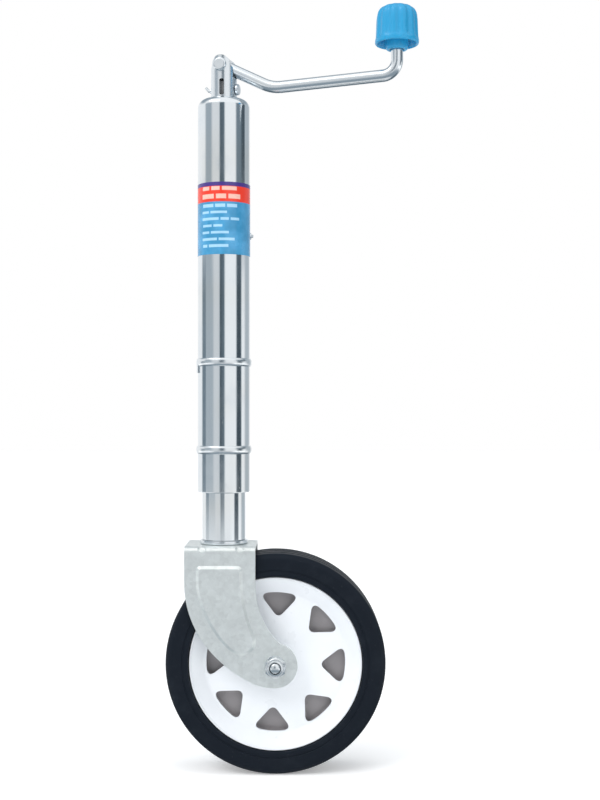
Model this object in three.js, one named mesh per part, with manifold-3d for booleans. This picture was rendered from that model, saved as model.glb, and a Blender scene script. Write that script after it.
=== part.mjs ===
// Clamp-type trailer tongue jack (swivelling jockey wheel) with a folding crank.
// Millimetres, +Z up. The origin is on the tube's axis, midway between the two clamp rings.
// +X is the side to which the wheel trails, and -Y is the side that shows the axle nut.
import * as THREE from 'three';
import { mergeVertices } from 'three/addons/utils/BufferGeometryUtils.js';
import Module from 'manifold-3d';

const wasm = await Module();
wasm.setup();

// ---------- driving dimensions ----------
const RUNNING_GAP = 0.3;            // left between pieces that touch or slide

const OUTER_R = 24;                 // 48 mm tube, the size that tow-bar clamps take
const OUTER_WALL = 2.5;
const OUTER_TOP = 282;
const OUTER_BOTTOM = -79;
const SHOULDER_R = 8;               // the tube's top edge is spun inwards
const SPINDLE_HOLE_R = 9;

const RING_SPACING = 80;            // between the two clamp rings
const RING_HEIGHT = 7.5;
const RING_R = 25.4;
const KEY_TAB = { width: 6, drop: 6 };

const LABEL = { low: 137.5, high: 203, facets: 13, gap: 0.06, thickness: 0.24 };
const NIPPLE = { angle: 7.5, z: 157 };

const INNER_R = 20;                 // 40 mm tube
const INNER_WALL = 2.5;
const INNER_TOP = 172;
const INNER_BOTTOM = -122.5;

const TRAVEL_UP = 40;
const TRAVEL_DOWN = 190;
const KEYWAY_WIDTH = 4.6;
const GUIDE_PIN = { r: 2, z: -62, head: 3.6 };

const SCREW = { r: 9.5, depth: 2.1, lead: 6, low: -45, high: 225, facets: 10 };
const THREAD_CLEARANCE = 0.55;
const SHANK_R = 8;
const SHANK_TOP = 299;
const COLLAR = { r: 14, low: 255, high: 261.1 };
const THRUST_PLATE = { low: 268, high: 274 };
const NUT_LENGTH = 24;

const CLEVIS_R = 12;
const CLEVIS_BASE = 283.7;
const CLEVIS_FLOOR = 300.8;         // the rod rests here when the crank is open
const PIVOT_Z = 312.5;
const EAR_R = 9;
const CRANK_TURN = -Math.PI / 12;   // the crank stands 15 degrees towards the nut side
const ARM_SLOT = 12;
const WINDOW = { width: 4.2, low: 284.6, high: 299.5 };
const PIVOT_PIN = { r: 4, head: 6.2, headThickness: 2.6 };
const CROSS_PIN = { r: 2.4, head: 5.1, z: 291 };

const ROD_R = 5.5;
const ROD_BEND = { along: 46.2, z: 290.5 };
const ROD_CORNER = { along: 161.9, z: 295.2 };
const ROD_TOP = 344;
const KNOB = { collarR: 9.8, low: 316.8, skirt: 321.5, top: 356.8, r: 20.3, flutes: 12 };

const PLATE_TOP = -126.5;
const SHEET = 3.5;                  // thickness of the fork's pressed sheet
const FORK_HALF = 31;               // half the fork's overall width
const FORK_LEFT = -34;
const FORK_RIGHT = 30;
const FORK_BEND_R = 5;

const AXLE = new THREE.Vector3(48, 0, -233.5);
const AXLE_BOSS_R = 20;
const WHEEL_R = 100;                // 200 x 50 mm wheel
const TYRE_HALF = 25;
const WHEEL_TURN = THREE.MathUtils.degToRad(3.2);
const DISC_FACE = 11;               // outer face of each wheel disc, from the wheel's middle
const DISC_SHEET = 2;
const RIM_R = 77.5;
const CORE = { bandR: 66.6, bandSheet: 2, webHalf: 1, hubR: 15.3 };
const HOLES = 8;
const BOLT_R = 5;
const KINGPIN_R = 7;

const ROUND = 24;                   // facets round the tubes
const SMALL = 16;                   // facets round small pieces
const WHEEL_ROUND = 40;             // facets round the wheel

// ---------- solids ----------
function toSolid(geometry) {
  const bare = geometry.clone();
  bare.deleteAttribute('normal');
  bare.deleteAttribute('uv');
  const merged = mergeVertices(bare, 1e-4);
  const vertProperties = new Float32Array(merged.attributes.position.array);
  const triVerts = new Uint32Array(merged.index.array);
  return new wasm.Manifold(new wasm.Mesh({ numProp: 3, vertProperties, triVerts }));
}

function toGeometry(solid) {
  const mesh = solid.getMesh();
  const geometry = new THREE.BufferGeometry();
  geometry.setAttribute('position', new THREE.BufferAttribute(mesh.vertProperties, 3));
  geometry.setIndex(new THREE.BufferAttribute(mesh.triVerts, 1));
  geometry.computeVertexNormals();
  return geometry;
}

function cut(base, ...tools) {
  return toGeometry(tools.reduce((solid, tool) => solid.subtract(toSolid(tool)), toSolid(base)));
}

function join(...pieces) {
  return toGeometry(pieces.map(toSolid).reduce((solid, piece) => solid.add(piece)));
}

function common(...pieces) {
  return toGeometry(pieces.map(toSolid).reduce((solid, piece) => solid.intersect(piece)));
}

// A profile of [radius, height] points turned about Y.
function turnedY(profile, facets) {
  return new THREE.LatheGeometry(profile.map(([r, y]) => new THREE.Vector2(r, y)), facets);
}

// The same, turned about Z.
function turned(profile, facets = ROUND) {
  return turnedY(profile, facets).rotateX(Math.PI / 2);
}

function ringProfile(innerR, outerR, low, high, chamfer = 0) {
  return [
    [innerR, low], [outerR - chamfer, low], [outerR, low + chamfer],
    [outerR, high - chamfer], [outerR - chamfer, high], [innerR, high], [innerR, low],
  ].filter(([r, z], i, all) => i === 0 || r !== all[i - 1][0] || z !== all[i - 1][1]);
}

function rodProfile(r, low, high, chamfer = 0) {
  return [
    [0, low], [r - chamfer, low], [r, low + chamfer],
    [r, high - chamfer], [r - chamfer, high], [0, high],
  ].filter(([x, z], i, all) => i === 0 || x !== all[i - 1][0] || z !== all[i - 1][1]);
}

const ring = (innerR, outerR, low, high, facets = ROUND, chamfer = 0) =>
  turned(ringProfile(innerR, outerR, low, high, chamfer), facets);

const rod = (r, low, high, facets = SMALL, chamfer = 0) =>
  turned(rodProfile(r, low, high, chamfer), facets);

const box = (x, y, z, at) => new THREE.BoxGeometry(x, y, z).translate(...at);

// Points of a quarter or other arc in a profile.
function arc(centreR, centreZ, radius, from, to, steps) {
  return Array.from({ length: steps + 1 }, (_, i) => {
    const angle = THREE.MathUtils.degToRad(from + (to - from) * i / steps);
    return [centreR + radius * Math.cos(angle), centreZ + radius * Math.sin(angle)];
  });
}

// A shape drawn in X and Z, made as thick as given and centred on Y = 0.
function slab(shape, thickness, options = {}) {
  const settings = { depth: thickness, bevelEnabled: false, curveSegments: 6, ...options };
  return new THREE.ExtrudeGeometry(shape, settings).rotateX(Math.PI / 2).translate(0, thickness / 2, 0);
}

function hexagon(acrossFlats) {
  const r = acrossFlats / Math.sqrt(3);
  const corners = Array.from({ length: 6 }, (_, i) => {
    const angle = (i + 0.5) * Math.PI / 3;
    return new THREE.Vector2(r * Math.cos(angle), r * Math.sin(angle));
  });
  return new THREE.Shape(corners);
}

// A vee-threaded rod: rows of points climb round the axis as a left-hand helix, so that
// turning the crank clockwise lowers the leg. Crest and root rows take turns.
function threadedRod(crestR, rootR, low, high) {
  const { lead, facets } = SCREW;
  const rows = 2 * (Math.ceil((high - low) / lead) + 3);
  const start = Math.floor(low / lead) * lead - lead;
  const positions = [];
  for (let row = 0; row < rows; row++) {
    for (let i = 0; i < facets; i++) {
      const angle = -2 * Math.PI * i / facets;
      const r = row % 2 ? rootR : crestR;
      const z = start + lead * (row / 2 + i / facets);
      positions.push(r * Math.cos(angle), r * Math.sin(angle), z);
    }
  }
  const at = (row, i) => (i < facets ? row * facets + i : (row + 2) * facets + i - facets);
  const index = [];
  const last = rows - 3;
  for (let row = 0; row < last; row++) {
    for (let i = 0; i < facets; i++) {
      const [a, b, c, d] = [at(row, i), at(row, i + 1), at(row + 1, i + 1), at(row + 1, i)];
      index.push(a, c, b, a, d, c);
    }
  }
  const bottom = positions.length / 3;
  positions.push(0, 0, start);
  const top = bottom + 1;
  positions.push(0, 0, start + lead * (last / 2 + 1));
  const lowRim = [...Array(facets + 1).keys()].map((i) => at(0, i)).concat(at(1, 0));
  const highRim = [...Array(facets + 1).keys()].map((i) => at(last, i)).concat(at(last + 1, 0));
  lowRim.forEach((v, i) => index.push(bottom, v, lowRim[(i + 1) % lowRim.length]));
  highRim.forEach((v, i) => index.push(top, highRim[(i + 1) % highRim.length], v));
  const geometry = new THREE.BufferGeometry();
  geometry.setAttribute('position', new THREE.Float32BufferAttribute(positions, 3));
  geometry.setIndex(index);
  return common(geometry, rod(crestR + 5, low, high, facets));
}

// A round rod bent along corner points, with each inner corner rounded.
function bentRod(points, bendR, rodR, steps, facets) {
  const path = new THREE.CurvePath();
  let from = points[0];
  for (let i = 1; i < points.length - 1; i++) {
    const back = points[i - 1].clone().sub(points[i]).normalize();
    const on = points[i + 1].clone().sub(points[i]).normalize();
    const trim = bendR / Math.tan(back.angleTo(on) / 2);
    const enter = points[i].clone().addScaledVector(back, trim);
    const leave = points[i].clone().addScaledVector(on, trim);
    path.add(new THREE.LineCurve3(from, enter));
    path.add(new THREE.QuadraticBezierCurve3(enter, points[i], leave));
    from = leave;
  }
  path.add(new THREE.LineCurve3(from, points.at(-1)));
  const section = new THREE.Shape(new THREE.Path().absarc(0, 0, rodR, 0, 2 * Math.PI)
    .getSpacedPoints(facets).slice(0, -1));
  return new THREE.ExtrudeGeometry(section, { steps, extrudePath: path, bevelEnabled: false });
}

// ---------- housing ----------
function outerTube() {
  const innerR = OUTER_R - OUTER_WALL;
  const shoulderR = OUTER_R - SHOULDER_R;
  const shoulderZ = OUTER_TOP - SHOULDER_R;
  return turned([
    [innerR, OUTER_BOTTOM], [OUTER_R - 0.6, OUTER_BOTTOM], [OUTER_R, OUTER_BOTTOM + 0.6],
    ...arc(shoulderR, shoulderZ, SHOULDER_R, 0, 90, 3),
    [SPINDLE_HOLE_R, OUTER_TOP], [SPINDLE_HOLE_R, OUTER_TOP - OUTER_WALL],
    ...arc(shoulderR, shoulderZ, SHOULDER_R - OUTER_WALL, 90, 0, 2),
    [innerR, OUTER_BOTTOM],
  ]);
}

function drilledOuterTube() {
  const pinHole = new THREE.CylinderGeometry(2.3, 2.3, 8, SMALL).translate(0, OUTER_R, GUIDE_PIN.z);
  return cut(outerTube(), pinHole);
}

function clampRing(centreZ) {
  const half = RING_HEIGHT / 2;
  return ring(OUTER_R + 0.1, RING_R, centreZ - half, centreZ + half);
}

// The upper ring has a tab that keys into the clamp, so that the jack can't turn in it.
function keyedRing() {
  const low = RING_SPACING / 2 - RING_HEIGHT / 2 - KEY_TAB.drop;
  const sleeve = ring(OUTER_R + 0.1, RING_R, low, RING_SPACING / 2);
  const window = box(10, KEY_TAB.width, KEY_TAB.drop * 2, [-OUTER_R, -7, low + KEY_TAB.drop]);
  return join(clampRing(RING_SPACING / 2), common(sleeve, window));
}

function label() {
  const innerR = OUTER_R + LABEL.gap;
  const outerR = innerR + LABEL.thickness;
  const start = -Math.PI - 2 * Math.PI / ROUND;
  const edge = (r, i) => {
    const angle = start + i * 2 * Math.PI / ROUND;
    return new THREE.Vector2(r * Math.cos(angle), r * Math.sin(angle));
  };
  const steps = [...Array(LABEL.facets + 1).keys()];
  const outline = [...steps.map((i) => edge(outerR, i)), ...steps.reverse().map((i) => edge(innerR, i))];
  const settings = { depth: LABEL.high - LABEL.low, bevelEnabled: false };
  return new THREE.ExtrudeGeometry(new THREE.Shape(outline), settings).translate(0, 0, LABEL.low);
}

function greaseNipple() {
  const profile = [[0, 0], [3, 0], [3, 1.2], [1.7, 1.6], [1.7, 2.6], [0.9, 3.2], [0, 3.2]];
  return turned(profile, 12).rotateY(Math.PI / 2);
}

function guidePin() {
  const tip = INNER_R - 2;
  const wallR = OUTER_R + RUNNING_GAP;
  const profile = [
    [0, tip], [GUIDE_PIN.r, tip], [GUIDE_PIN.r, wallR],
    [GUIDE_PIN.head, wallR], [GUIDE_PIN.head - 1, wallR + 1], [0, wallR + 1.2],
  ];
  return turnedY(profile, 16).translate(0, 0, GUIDE_PIN.z);
}

function guideBush() {
  const sleeve = ring(INNER_R + RUNNING_GAP, OUTER_R - OUTER_WALL - 0.2, OUTER_BOTTOM, OUTER_BOTTOM + 32);
  const pinHole = new THREE.CylinderGeometry(2.4, 2.4, 8, SMALL).translate(0, INNER_R, GUIDE_PIN.z);
  return cut(sleeve, pinHole);
}

const thrustPlate = () => ring(
  SHANK_R + 0.6, OUTER_R - OUTER_WALL - RUNNING_GAP, THRUST_PLATE.low, THRUST_PLATE.high, ROUND, 0.8);

const bearingRace = () => ring(
  SHANK_R + 0.6, 15, THRUST_PLATE.low - RUNNING_GAP - 3, THRUST_PLATE.low - RUNNING_GAP, SMALL, 0.4);

// ---------- spindle ----------
function leadScrew() {
  const shank = turned([
    [0, SCREW.high - 4], [SHANK_R - 1.2, SCREW.high - 4], [SHANK_R, SCREW.high],
    [SHANK_R, COLLAR.low], [COLLAR.r, COLLAR.low],
    [COLLAR.r, COLLAR.high], [SHANK_R, COLLAR.high],
    [SHANK_R, SHANK_TOP - 1], [SHANK_R - 1, SHANK_TOP], [0, SHANK_TOP],
  ], SMALL);
  const thread = threadedRod(SCREW.r, SCREW.r - SCREW.depth, SCREW.low, SCREW.high - 1);
  const pinHole = rod(CROSS_PIN.r + 0.3, -20, 20, 16)
    .rotateY(Math.PI / 2).rotateZ(CRANK_TURN).translate(0, 0, CROSS_PIN.z);
  return cut(join(thread, shank), pinHole);
}

const thrustWasher = () => ring(
  SHANK_R + 0.4, COLLAR.r, COLLAR.high + RUNNING_GAP, COLLAR.high + RUNNING_GAP + 3, SMALL, 0.3);

const dustWasher = () => ring(
  SHANK_R + 0.4, CLEVIS_R + 1, OUTER_TOP + 0.2, CLEVIS_BASE - 0.2, SMALL);

// The clevis is drawn along the crank: x along the arm, y along the pivot pin.
function clevis() {
  const side = new THREE.Shape();
  const shoulder = PIVOT_Z - 6;
  side.moveTo(-CLEVIS_R - 1, CLEVIS_BASE);
  side.lineTo(CLEVIS_R + 1, CLEVIS_BASE);
  side.lineTo(CLEVIS_R + 1, shoulder);
  side.absarc(0, PIVOT_Z, EAR_R, 0, Math.PI, false);
  side.lineTo(-CLEVIS_R - 1, shoulder);
  const body = common(rod(CLEVIS_R, CLEVIS_BASE, PIVOT_Z + EAR_R, ROUND), slab(side, 2 * CLEVIS_R + 2));
  const bore = rod(SHANK_R + RUNNING_GAP, CLEVIS_BASE - 1, SHANK_TOP + 0.5, SMALL);
  const armSlot = box(40, ARM_SLOT, 40, [0, 0, CLEVIS_FLOOR + 20]);
  const windowHeight = WINDOW.high - WINDOW.low;
  const window = box(WINDOW.width, CLEVIS_R, windowHeight, [1.6, -CLEVIS_R, WINDOW.low + windowHeight / 2]);
  const pivotHole = turnedY(rodProfile(PIVOT_PIN.r + RUNNING_GAP, -20, 20), SMALL)
    .translate(0, 0, PIVOT_Z);
  const crossHole = rod(CROSS_PIN.r + RUNNING_GAP, -20, 20, 16)
    .rotateY(Math.PI / 2).translate(0, 0, CROSS_PIN.z);
  return cut(body, bore, armSlot, window, pivotHole, crossHole);
}

function pivotPin() {
  const { r, head, headThickness } = PIVOT_PIN;
  const seat = CLEVIS_R + 0.1;
  return turnedY([
    [0, -seat - headThickness], [head - 1.2, -seat - headThickness], [head, -seat - 1.2],
    [head, -seat], [r, -seat], [r, seat],
    [r + 1, seat], [r + 1, seat + 1], [r - 1, seat + 2], [0, seat + 2],
  ], SMALL).translate(0, 0, PIVOT_Z);
}

// A headed pin ties the clevis to the spindle; its thin far end is bent up.
function crossPin() {
  const { r, head, z } = CROSS_PIN;
  const seat = CLEVIS_R + 0.2;
  const shank = turned([
    [0, -seat - 1], [r, -seat - 1], [r, seat],
    [head, seat], [head, seat + 1.6], [head - 1.2, seat + 2.6], [0, seat + 2.6],
  ], 16).rotateY(Math.PI / 2);
  const tail = bentRod([
    new THREE.Vector3(-seat + 1, 0, 0), new THREE.Vector3(-seat - 1.4, 0, 0),
    new THREE.Vector3(-seat - 5.6, 0, 3.6),
  ], 1.6, 1.3, 6, 8);
  return join(shank, tail).translate(0, 0, z);
}

// ---------- crank ----------
function crankRod() {
  const flat = (along, z) => new THREE.Vector3(along, 0, z);
  const bent = bentRod([
    flat(0, PIVOT_Z + 1), flat(ROD_BEND.along, ROD_BEND.z),
    flat(ROD_CORNER.along, ROD_CORNER.z), flat(ROD_CORNER.along, ROD_TOP),
  ], 14, ROD_R, 32, 10);
  const eye = turnedY(rodProfile(EAR_R - 0.6, -ROD_R - 0.1, ROD_R + 0.1, 0.8), SMALL)
    .translate(0, 0, PIVOT_Z);
  const hole = turnedY(rodProfile(PIVOT_PIN.r + RUNNING_GAP, -10, 10), SMALL).translate(0, 0, PIVOT_Z);
  const clipGroove = ring(ROD_R - 1, ROD_R + 2, 338.6, 340.6, SMALL)
    .translate(ROD_CORNER.along, 0, 0);
  return cut(join(bent, eye), hole, clipGroove);
}

const knobClip = () => ring(ROD_R - 0.6, ROD_R + 2.2, 339, 340.2, SMALL)
  .translate(ROD_CORNER.along, 0, 0);

function knob() {
  const { collarR, low, skirt, top, r, flutes } = KNOB;
  const outline = Array.from({ length: 4 * flutes }, (_, i) => {
    const angle = 2 * Math.PI * i / (4 * flutes);
    const radius = r - 0.55 + 0.55 * Math.cos(flutes * angle);
    return new THREE.Vector2(radius * Math.cos(angle), radius * Math.sin(angle));
  });
  const settings = { depth: top - skirt, bevelEnabled: false };
  const fluted = new THREE.ExtrudeGeometry(new THREE.Shape(outline), settings).translate(0, 0, skirt);
  const dome = turned([
    [0, skirt - 1], [r - 2, skirt - 1], [r, skirt + 2], [r - 1.2, top - 12],
    [r - 3.4, top - 5], [r - 8, top - 1.4], [r - 14, top - 0.1], [0, top],
  ], 24);
  const boss = rod(collarR, low, skirt + 14, 24, 0.6);
  const recess = ring(collarR, r - 3.2, skirt - 2, skirt + 9, 24);
  const bore = turned([
    [0, low - 1], [ROD_R + RUNNING_GAP, low - 1], [ROD_R + RUNNING_GAP, 337.4],
    [ROD_R + 3.2, 337.4], [ROD_R + 3.2, 341.6], [ROD_R + RUNNING_GAP, 341.6],
    [ROD_R + RUNNING_GAP, ROD_TOP + 0.8], [0, ROD_TOP + 0.8],
  ], SMALL);
  const body = toSolid(fluted).intersect(toSolid(dome)).subtract(toSolid(recess));
  return toGeometry(body.add(toSolid(boss)).subtract(toSolid(bore)));
}

// ---------- leg ----------
function innerTube() {
  const tube = ring(INNER_R - INNER_WALL, INNER_R, INNER_BOTTOM, INNER_TOP, ROUND, 0.4);
  const low = GUIDE_PIN.z - TRAVEL_UP - 4;
  const high = GUIDE_PIN.z + TRAVEL_DOWN + 4;
  return cut(tube, box(KEYWAY_WIDTH, 8, high - low, [0, INNER_R, (low + high) / 2]));
}

function leadNut() {
  const blank = turned([
    [0, INNER_TOP - NUT_LENGTH], [INNER_R - INNER_WALL - RUNNING_GAP, INNER_TOP - NUT_LENGTH],
    [INNER_R - INNER_WALL - RUNNING_GAP, INNER_TOP + 0.3], [INNER_R - 0.2, INNER_TOP + 0.3],
    [INNER_R - 0.2, INNER_TOP + 3.5], [0, INNER_TOP + 3.5],
  ]);
  const thread = threadedRod(SCREW.r + THREAD_CLEARANCE, SCREW.r - SCREW.depth + THREAD_CLEARANCE,
    INNER_TOP - NUT_LENGTH - 4, INNER_TOP + 8);
  return cut(blank, thread);
}

const endPlug = () => ring(KINGPIN_R + RUNNING_GAP, INNER_R - INNER_WALL - RUNNING_GAP,
  INNER_BOTTOM, INNER_BOTTOM + 12, ROUND, 0.6);

const swivelWasher = () => ring(KINGPIN_R + 0.4, 22, PLATE_TOP + 0.3, INNER_BOTTOM - 0.2, ROUND, 0.8);

function kingpin() {
  const seat = PLATE_TOP - SHEET - 2.6;
  return turned([
    [0, seat - 5], [7, seat - 5], [10.5, seat - 2.4], [10.5, seat],
    [KINGPIN_R, seat], [KINGPIN_R, -99], [KINGPIN_R - 1, -98], [0, -98],
  ], SMALL);
}

function kingpinNut() {
  const settings = { depth: 8.5, bevelEnabled: false };
  const body = new THREE.ExtrudeGeometry(hexagon(22), settings)
    .translate(0, 0, INNER_BOTTOM + 12.3);
  return cut(body, rod(KINGPIN_R + RUNNING_GAP, -120, -90, SMALL));
}

// ---------- fork ----------
function cheekOutline() {
  const bottom = AXLE.z - AXLE_BOSS_R;
  const outline = new THREE.Shape();
  outline.moveTo(FORK_LEFT, PLATE_TOP);
  outline.lineTo(FORK_LEFT, -158);
  outline.bezierCurveTo(FORK_LEFT, -200, -8, -232, AXLE.x - 20, bottom + 4);
  outline.quadraticCurveTo(AXLE.x - 11, bottom, AXLE.x, bottom);
  outline.absarc(AXLE.x, AXLE.z, AXLE_BOSS_R, -Math.PI / 2, Math.PI * 0.42, false);
  outline.bezierCurveTo(42, -206, FORK_RIGHT, -186, FORK_RIGHT, -160);
  outline.lineTo(FORK_RIGHT, PLATE_TOP);
  return outline;
}

function channelSection() {
  const section = new THREE.Shape();
  const low = AXLE.z - AXLE_BOSS_R - 1;
  const bendIn = FORK_BEND_R - SHEET;
  const inner = FORK_HALF - SHEET;
  section.moveTo(-FORK_HALF, low);
  section.lineTo(-inner, low);
  section.absarc(-inner + bendIn, PLATE_TOP - FORK_BEND_R, bendIn, Math.PI, Math.PI / 2, true);
  section.absarc(inner - bendIn, PLATE_TOP - FORK_BEND_R, bendIn, Math.PI / 2, 0, true);
  section.lineTo(inner, low);
  section.lineTo(FORK_HALF, low);
  section.absarc(FORK_HALF - FORK_BEND_R, PLATE_TOP - FORK_BEND_R, FORK_BEND_R, 0, Math.PI / 2, false);
  section.absarc(-FORK_HALF + FORK_BEND_R, PLATE_TOP - FORK_BEND_R, FORK_BEND_R,
    Math.PI / 2, Math.PI, false);
  return section;
}

// The raised panel that stiffens each cheek.
function panelOutline() {
  const panel = new THREE.Shape();
  panel.moveTo(-19, -145);
  panel.lineTo(13, -145);
  panel.quadraticCurveTo(17, -145, 17, -149);
  panel.bezierCurveTo(17, -176, 22, -192, 28.5, -208);
  panel.quadraticCurveTo(32, -220, 18, -223);
  panel.bezierCurveTo(4, -222, -20, -188, -22, -160);
  panel.lineTo(-22, -149);
  panel.quadraticCurveTo(-22, -145, -19, -145);
  return panel;
}

function fork() {
  const channel = new THREE.ExtrudeGeometry(channelSection(), {
    depth: FORK_RIGHT + 60 - FORK_LEFT, bevelEnabled: false, curveSegments: 3,
  }).rotateX(Math.PI / 2).rotateZ(Math.PI / 2).translate(FORK_LEFT - 5, 0, 0);
  const pressed = common(channel, slab(cheekOutline(), 2 * FORK_HALF + 10));
  const bevel = {
    depth: 2 * FORK_HALF, bevelEnabled: true, bevelThickness: 1.6, bevelSize: 1.6,
    bevelSegments: 1, curveSegments: 5,
  };
  const panels = slab(panelOutline(), 2 * FORK_HALF, bevel);
  const between = box(200, 2 * (FORK_HALF - SHEET) + 1, 200, [0, 0, PLATE_TOP - 100]);
  const kingHole = rod(KINGPIN_R + 0.4, PLATE_TOP - 20, PLATE_TOP + 5);
  const boltHole = turnedY(rodProfile(BOLT_R + RUNNING_GAP, -50, 50), SMALL)
    .translate(AXLE.x, 0, AXLE.z);
  const dimples = [-18, 16].flatMap((x) => [-1, 1].map((side) =>
    new THREE.CylinderGeometry(4.2, 4.2, 14, 10)
      .rotateX(side * Math.PI / 4)
      .translate(x, side * (FORK_HALF + 1.6), PLATE_TOP + 1.6)));
  return cut(join(pressed, cut(panels, between)), kingHole, boltHole, ...dimples);
}

const underWasher = () => ring(KINGPIN_R + 0.4, 13, PLATE_TOP - SHEET - 2.3, PLATE_TOP - SHEET - 0.3,
  SMALL, 0.3);

function axleBolt() {
  const seat = FORK_HALF + 2.1;
  const shank = turnedY(rodProfile(BOLT_R, -43.6, seat + 1, 0.8), SMALL);
  const head = slab(hexagon(17), 6.4).translate(0, seat + 3.2, 0);
  return join(shank, head);
}

function axleNut() {
  const seat = -FORK_HALF - 2.1;
  const hex = slab(hexagon(17), 7.6).translate(0, seat - 3.8, 0);
  const collar = turnedY(rodProfile(7, seat - 9.6, seat - 7), SMALL);
  const hole = turnedY(rodProfile(BOLT_R + RUNNING_GAP, seat - 20, seat + 5), SMALL);
  return cut(join(hex, collar), hole);
}

const axleWasher = (side) => turnedY(
  ringProfile(BOLT_R + 0.4, 9.6, ...[FORK_HALF + 0.3, FORK_HALF + 1.8].map((y) => side * y)
    .sort((a, b) => a - b)), SMALL);

const axleSleeve = () => turnedY(
  ringProfile(BOLT_R + RUNNING_GAP, 7.6, -FORK_HALF + SHEET + 0.3, FORK_HALF - SHEET - 0.3, 0.3), SMALL);

// ---------- wheel: all pieces turned about the axle, the local Y axis ----------
function tyre() {
  const shoulder = (sign) => arc(WHEEL_R - 6, sign * (TYRE_HALF - 6), 6, 0, sign * 90, 2);
  const foot = [RIM_R + 1.6, 66.9 + 2.6];
  return turnedY([
    [foot[0], -TYRE_HALF + 1], [foot[0] + 1, -TYRE_HALF],
    ...shoulder(-1).reverse(), ...shoulder(1),
    [foot[0] + 1, TYRE_HALF], [foot[0], TYRE_HALF - 1],
    [foot[0], 20.4], [foot[1], 8.6], [foot[1], -8.6], [foot[0], -20.4],
    [foot[0], -TYRE_HALF + 1],
  ], WHEEL_ROUND);
}

// One dished disc. Its flat web stands at -DISC_FACE, and its edge flares to the tyre.
function rimDisc() {
  const web = -DISC_FACE;
  return turnedY([
    [15.3, web], [63.4, web], [66.4, web - 1.2], [RIM_R - 1.2, -20.6], [RIM_R - 0.6, -22.4],
    [RIM_R + 0.6, -22.4], [RIM_R + 1.1, -20.8], [67.8, web + 1.0],
    [64.2, web + DISC_SHEET], [15.3, web + DISC_SHEET], [15.3, web],
  ], WHEEL_ROUND);
}

// A triangular lightening hole with round corners and its apex towards the hub.
function lighteningHole() {
  const hole = new THREE.Shape();
  hole.moveTo(-10.5, 62.6);
  hole.quadraticCurveTo(0, 64.2, 10.5, 62.6);
  hole.quadraticCurveTo(17.2, 61, 13.6, 55.6);
  hole.lineTo(3.6, 43.8);
  hole.quadraticCurveTo(0, 40.4, -3.6, 43.8);
  hole.lineTo(-13.6, 55.6);
  hole.quadraticCurveTo(-17.2, 61, -10.5, 62.6);
  return slab(hole, 12, { curveSegments: 2 });
}

// The two discs are pierced in line with each other.
function piercedDisc(side) {
  const holes = Array.from({ length: HOLES }, (_, i) => lighteningHole()
    .translate(0, -DISC_FACE, 0).rotateY(i * 2 * Math.PI / HOLES - side * WHEEL_TURN));
  const disc = cut(rimDisc(), ...holes);
  return side > 0 ? disc.rotateZ(Math.PI) : disc;
}

// The wheel's middle: a flat web between the discs, with a band round its edge.
function rimCore() {
  const { bandR, bandSheet, webHalf, hubR } = CORE;
  const halfBand = DISC_FACE - DISC_SHEET - 0.9;
  return turnedY([
    [hubR, -webHalf], [bandR - bandSheet, -webHalf], [bandR - bandSheet, -halfBand],
    [bandR, -halfBand], [bandR, halfBand], [bandR - bandSheet, halfBand],
    [bandR - bandSheet, webHalf], [hubR, webHalf], [hubR, -webHalf],
  ], WHEEL_ROUND);
}

const hubTube = () => turnedY(ringProfile(11.9, 15, -22.5, 22.5, 0.4), SMALL);

function hubBush(side) {
  const bush = turnedY([
    [7.95, -25.6], [14, -25.6], [14, -22.8], [11.6, -22.8], [11.6, -9], [7.95, -9], [7.95, -25.6],
  ], SMALL);
  return side > 0 ? bush.rotateZ(Math.PI) : bush;
}

// ---------- assembly ----------
function finish(color, roughness, metalness) {
  return { color, roughness, metalness };
}

const BRIGHT_ZINC = finish(0xc6cdd2, 0.18, 1);
const DULL_ZINC = finish(0xb9bfc0, 0.5, 0.8);
const GREASED_STEEL = finish(0x55575a, 0.35, 1);
const WHITE_PAINT = finish(0xf2f5f8, 0.3, 0);
const RUBBER = finish(0x191d24, 0.75, 0);
const NYLON = finish(0xd8d6cc, 0.6, 0);
const BRONZE = finish(0x9c7440, 0.4, 1);
const BLUE_PLASTIC = finish(0x2ba3e0, 0.35, 0);
const LABEL_FILM = finish(0x3f9ed6, 0.4, 0);

function piece(name, geometry, look) {
  const mesh = new THREE.Mesh(geometry, new THREE.MeshStandardMaterial(look));
  mesh.name = name;
  return mesh;
}

const nipple = piece('grease_nipple', greaseNipple(), BRIGHT_ZINC);
nipple.rotation.z = THREE.MathUtils.degToRad(NIPPLE.angle);
nipple.position.set(OUTER_R + 0.1, 0, 0).applyAxisAngle(nipple.up.set(0, 0, 1), nipple.rotation.z);
nipple.position.z = NIPPLE.z;

const housing = new THREE.Group().add(
  piece('outer_tube', drilledOuterTube(), BRIGHT_ZINC),
  piece('upper_clamp_ring', keyedRing(), BRIGHT_ZINC),
  piece('lower_clamp_ring', clampRing(-RING_SPACING / 2), BRIGHT_ZINC),
  piece('label', label(), LABEL_FILM),
  nipple,
  piece('thrust_plate', thrustPlate(), DULL_ZINC),
  piece('bearing_race', bearingRace(), GREASED_STEEL),
  piece('guide_bush', guideBush(), NYLON),
  piece('guide_pin', guidePin(), DULL_ZINC),
);

const spindle = new THREE.Group().add(
  piece('lead_screw', leadScrew(), GREASED_STEEL),
  piece('thrust_washer', thrustWasher(), BRONZE),
  piece('dust_washer', dustWasher(), BRIGHT_ZINC),
);

const crankFrame = new THREE.Group().add(
  piece('clevis', clevis(), BRIGHT_ZINC),
  piece('pivot_pin', pivotPin(), BRIGHT_ZINC),
  piece('cross_pin', crossPin(), BRIGHT_ZINC),
  piece('crank_rod', crankRod(), BRIGHT_ZINC),
  piece('knob_clip', knobClip(), GREASED_STEEL),
);
crankFrame.rotation.z = CRANK_TURN;

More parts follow.
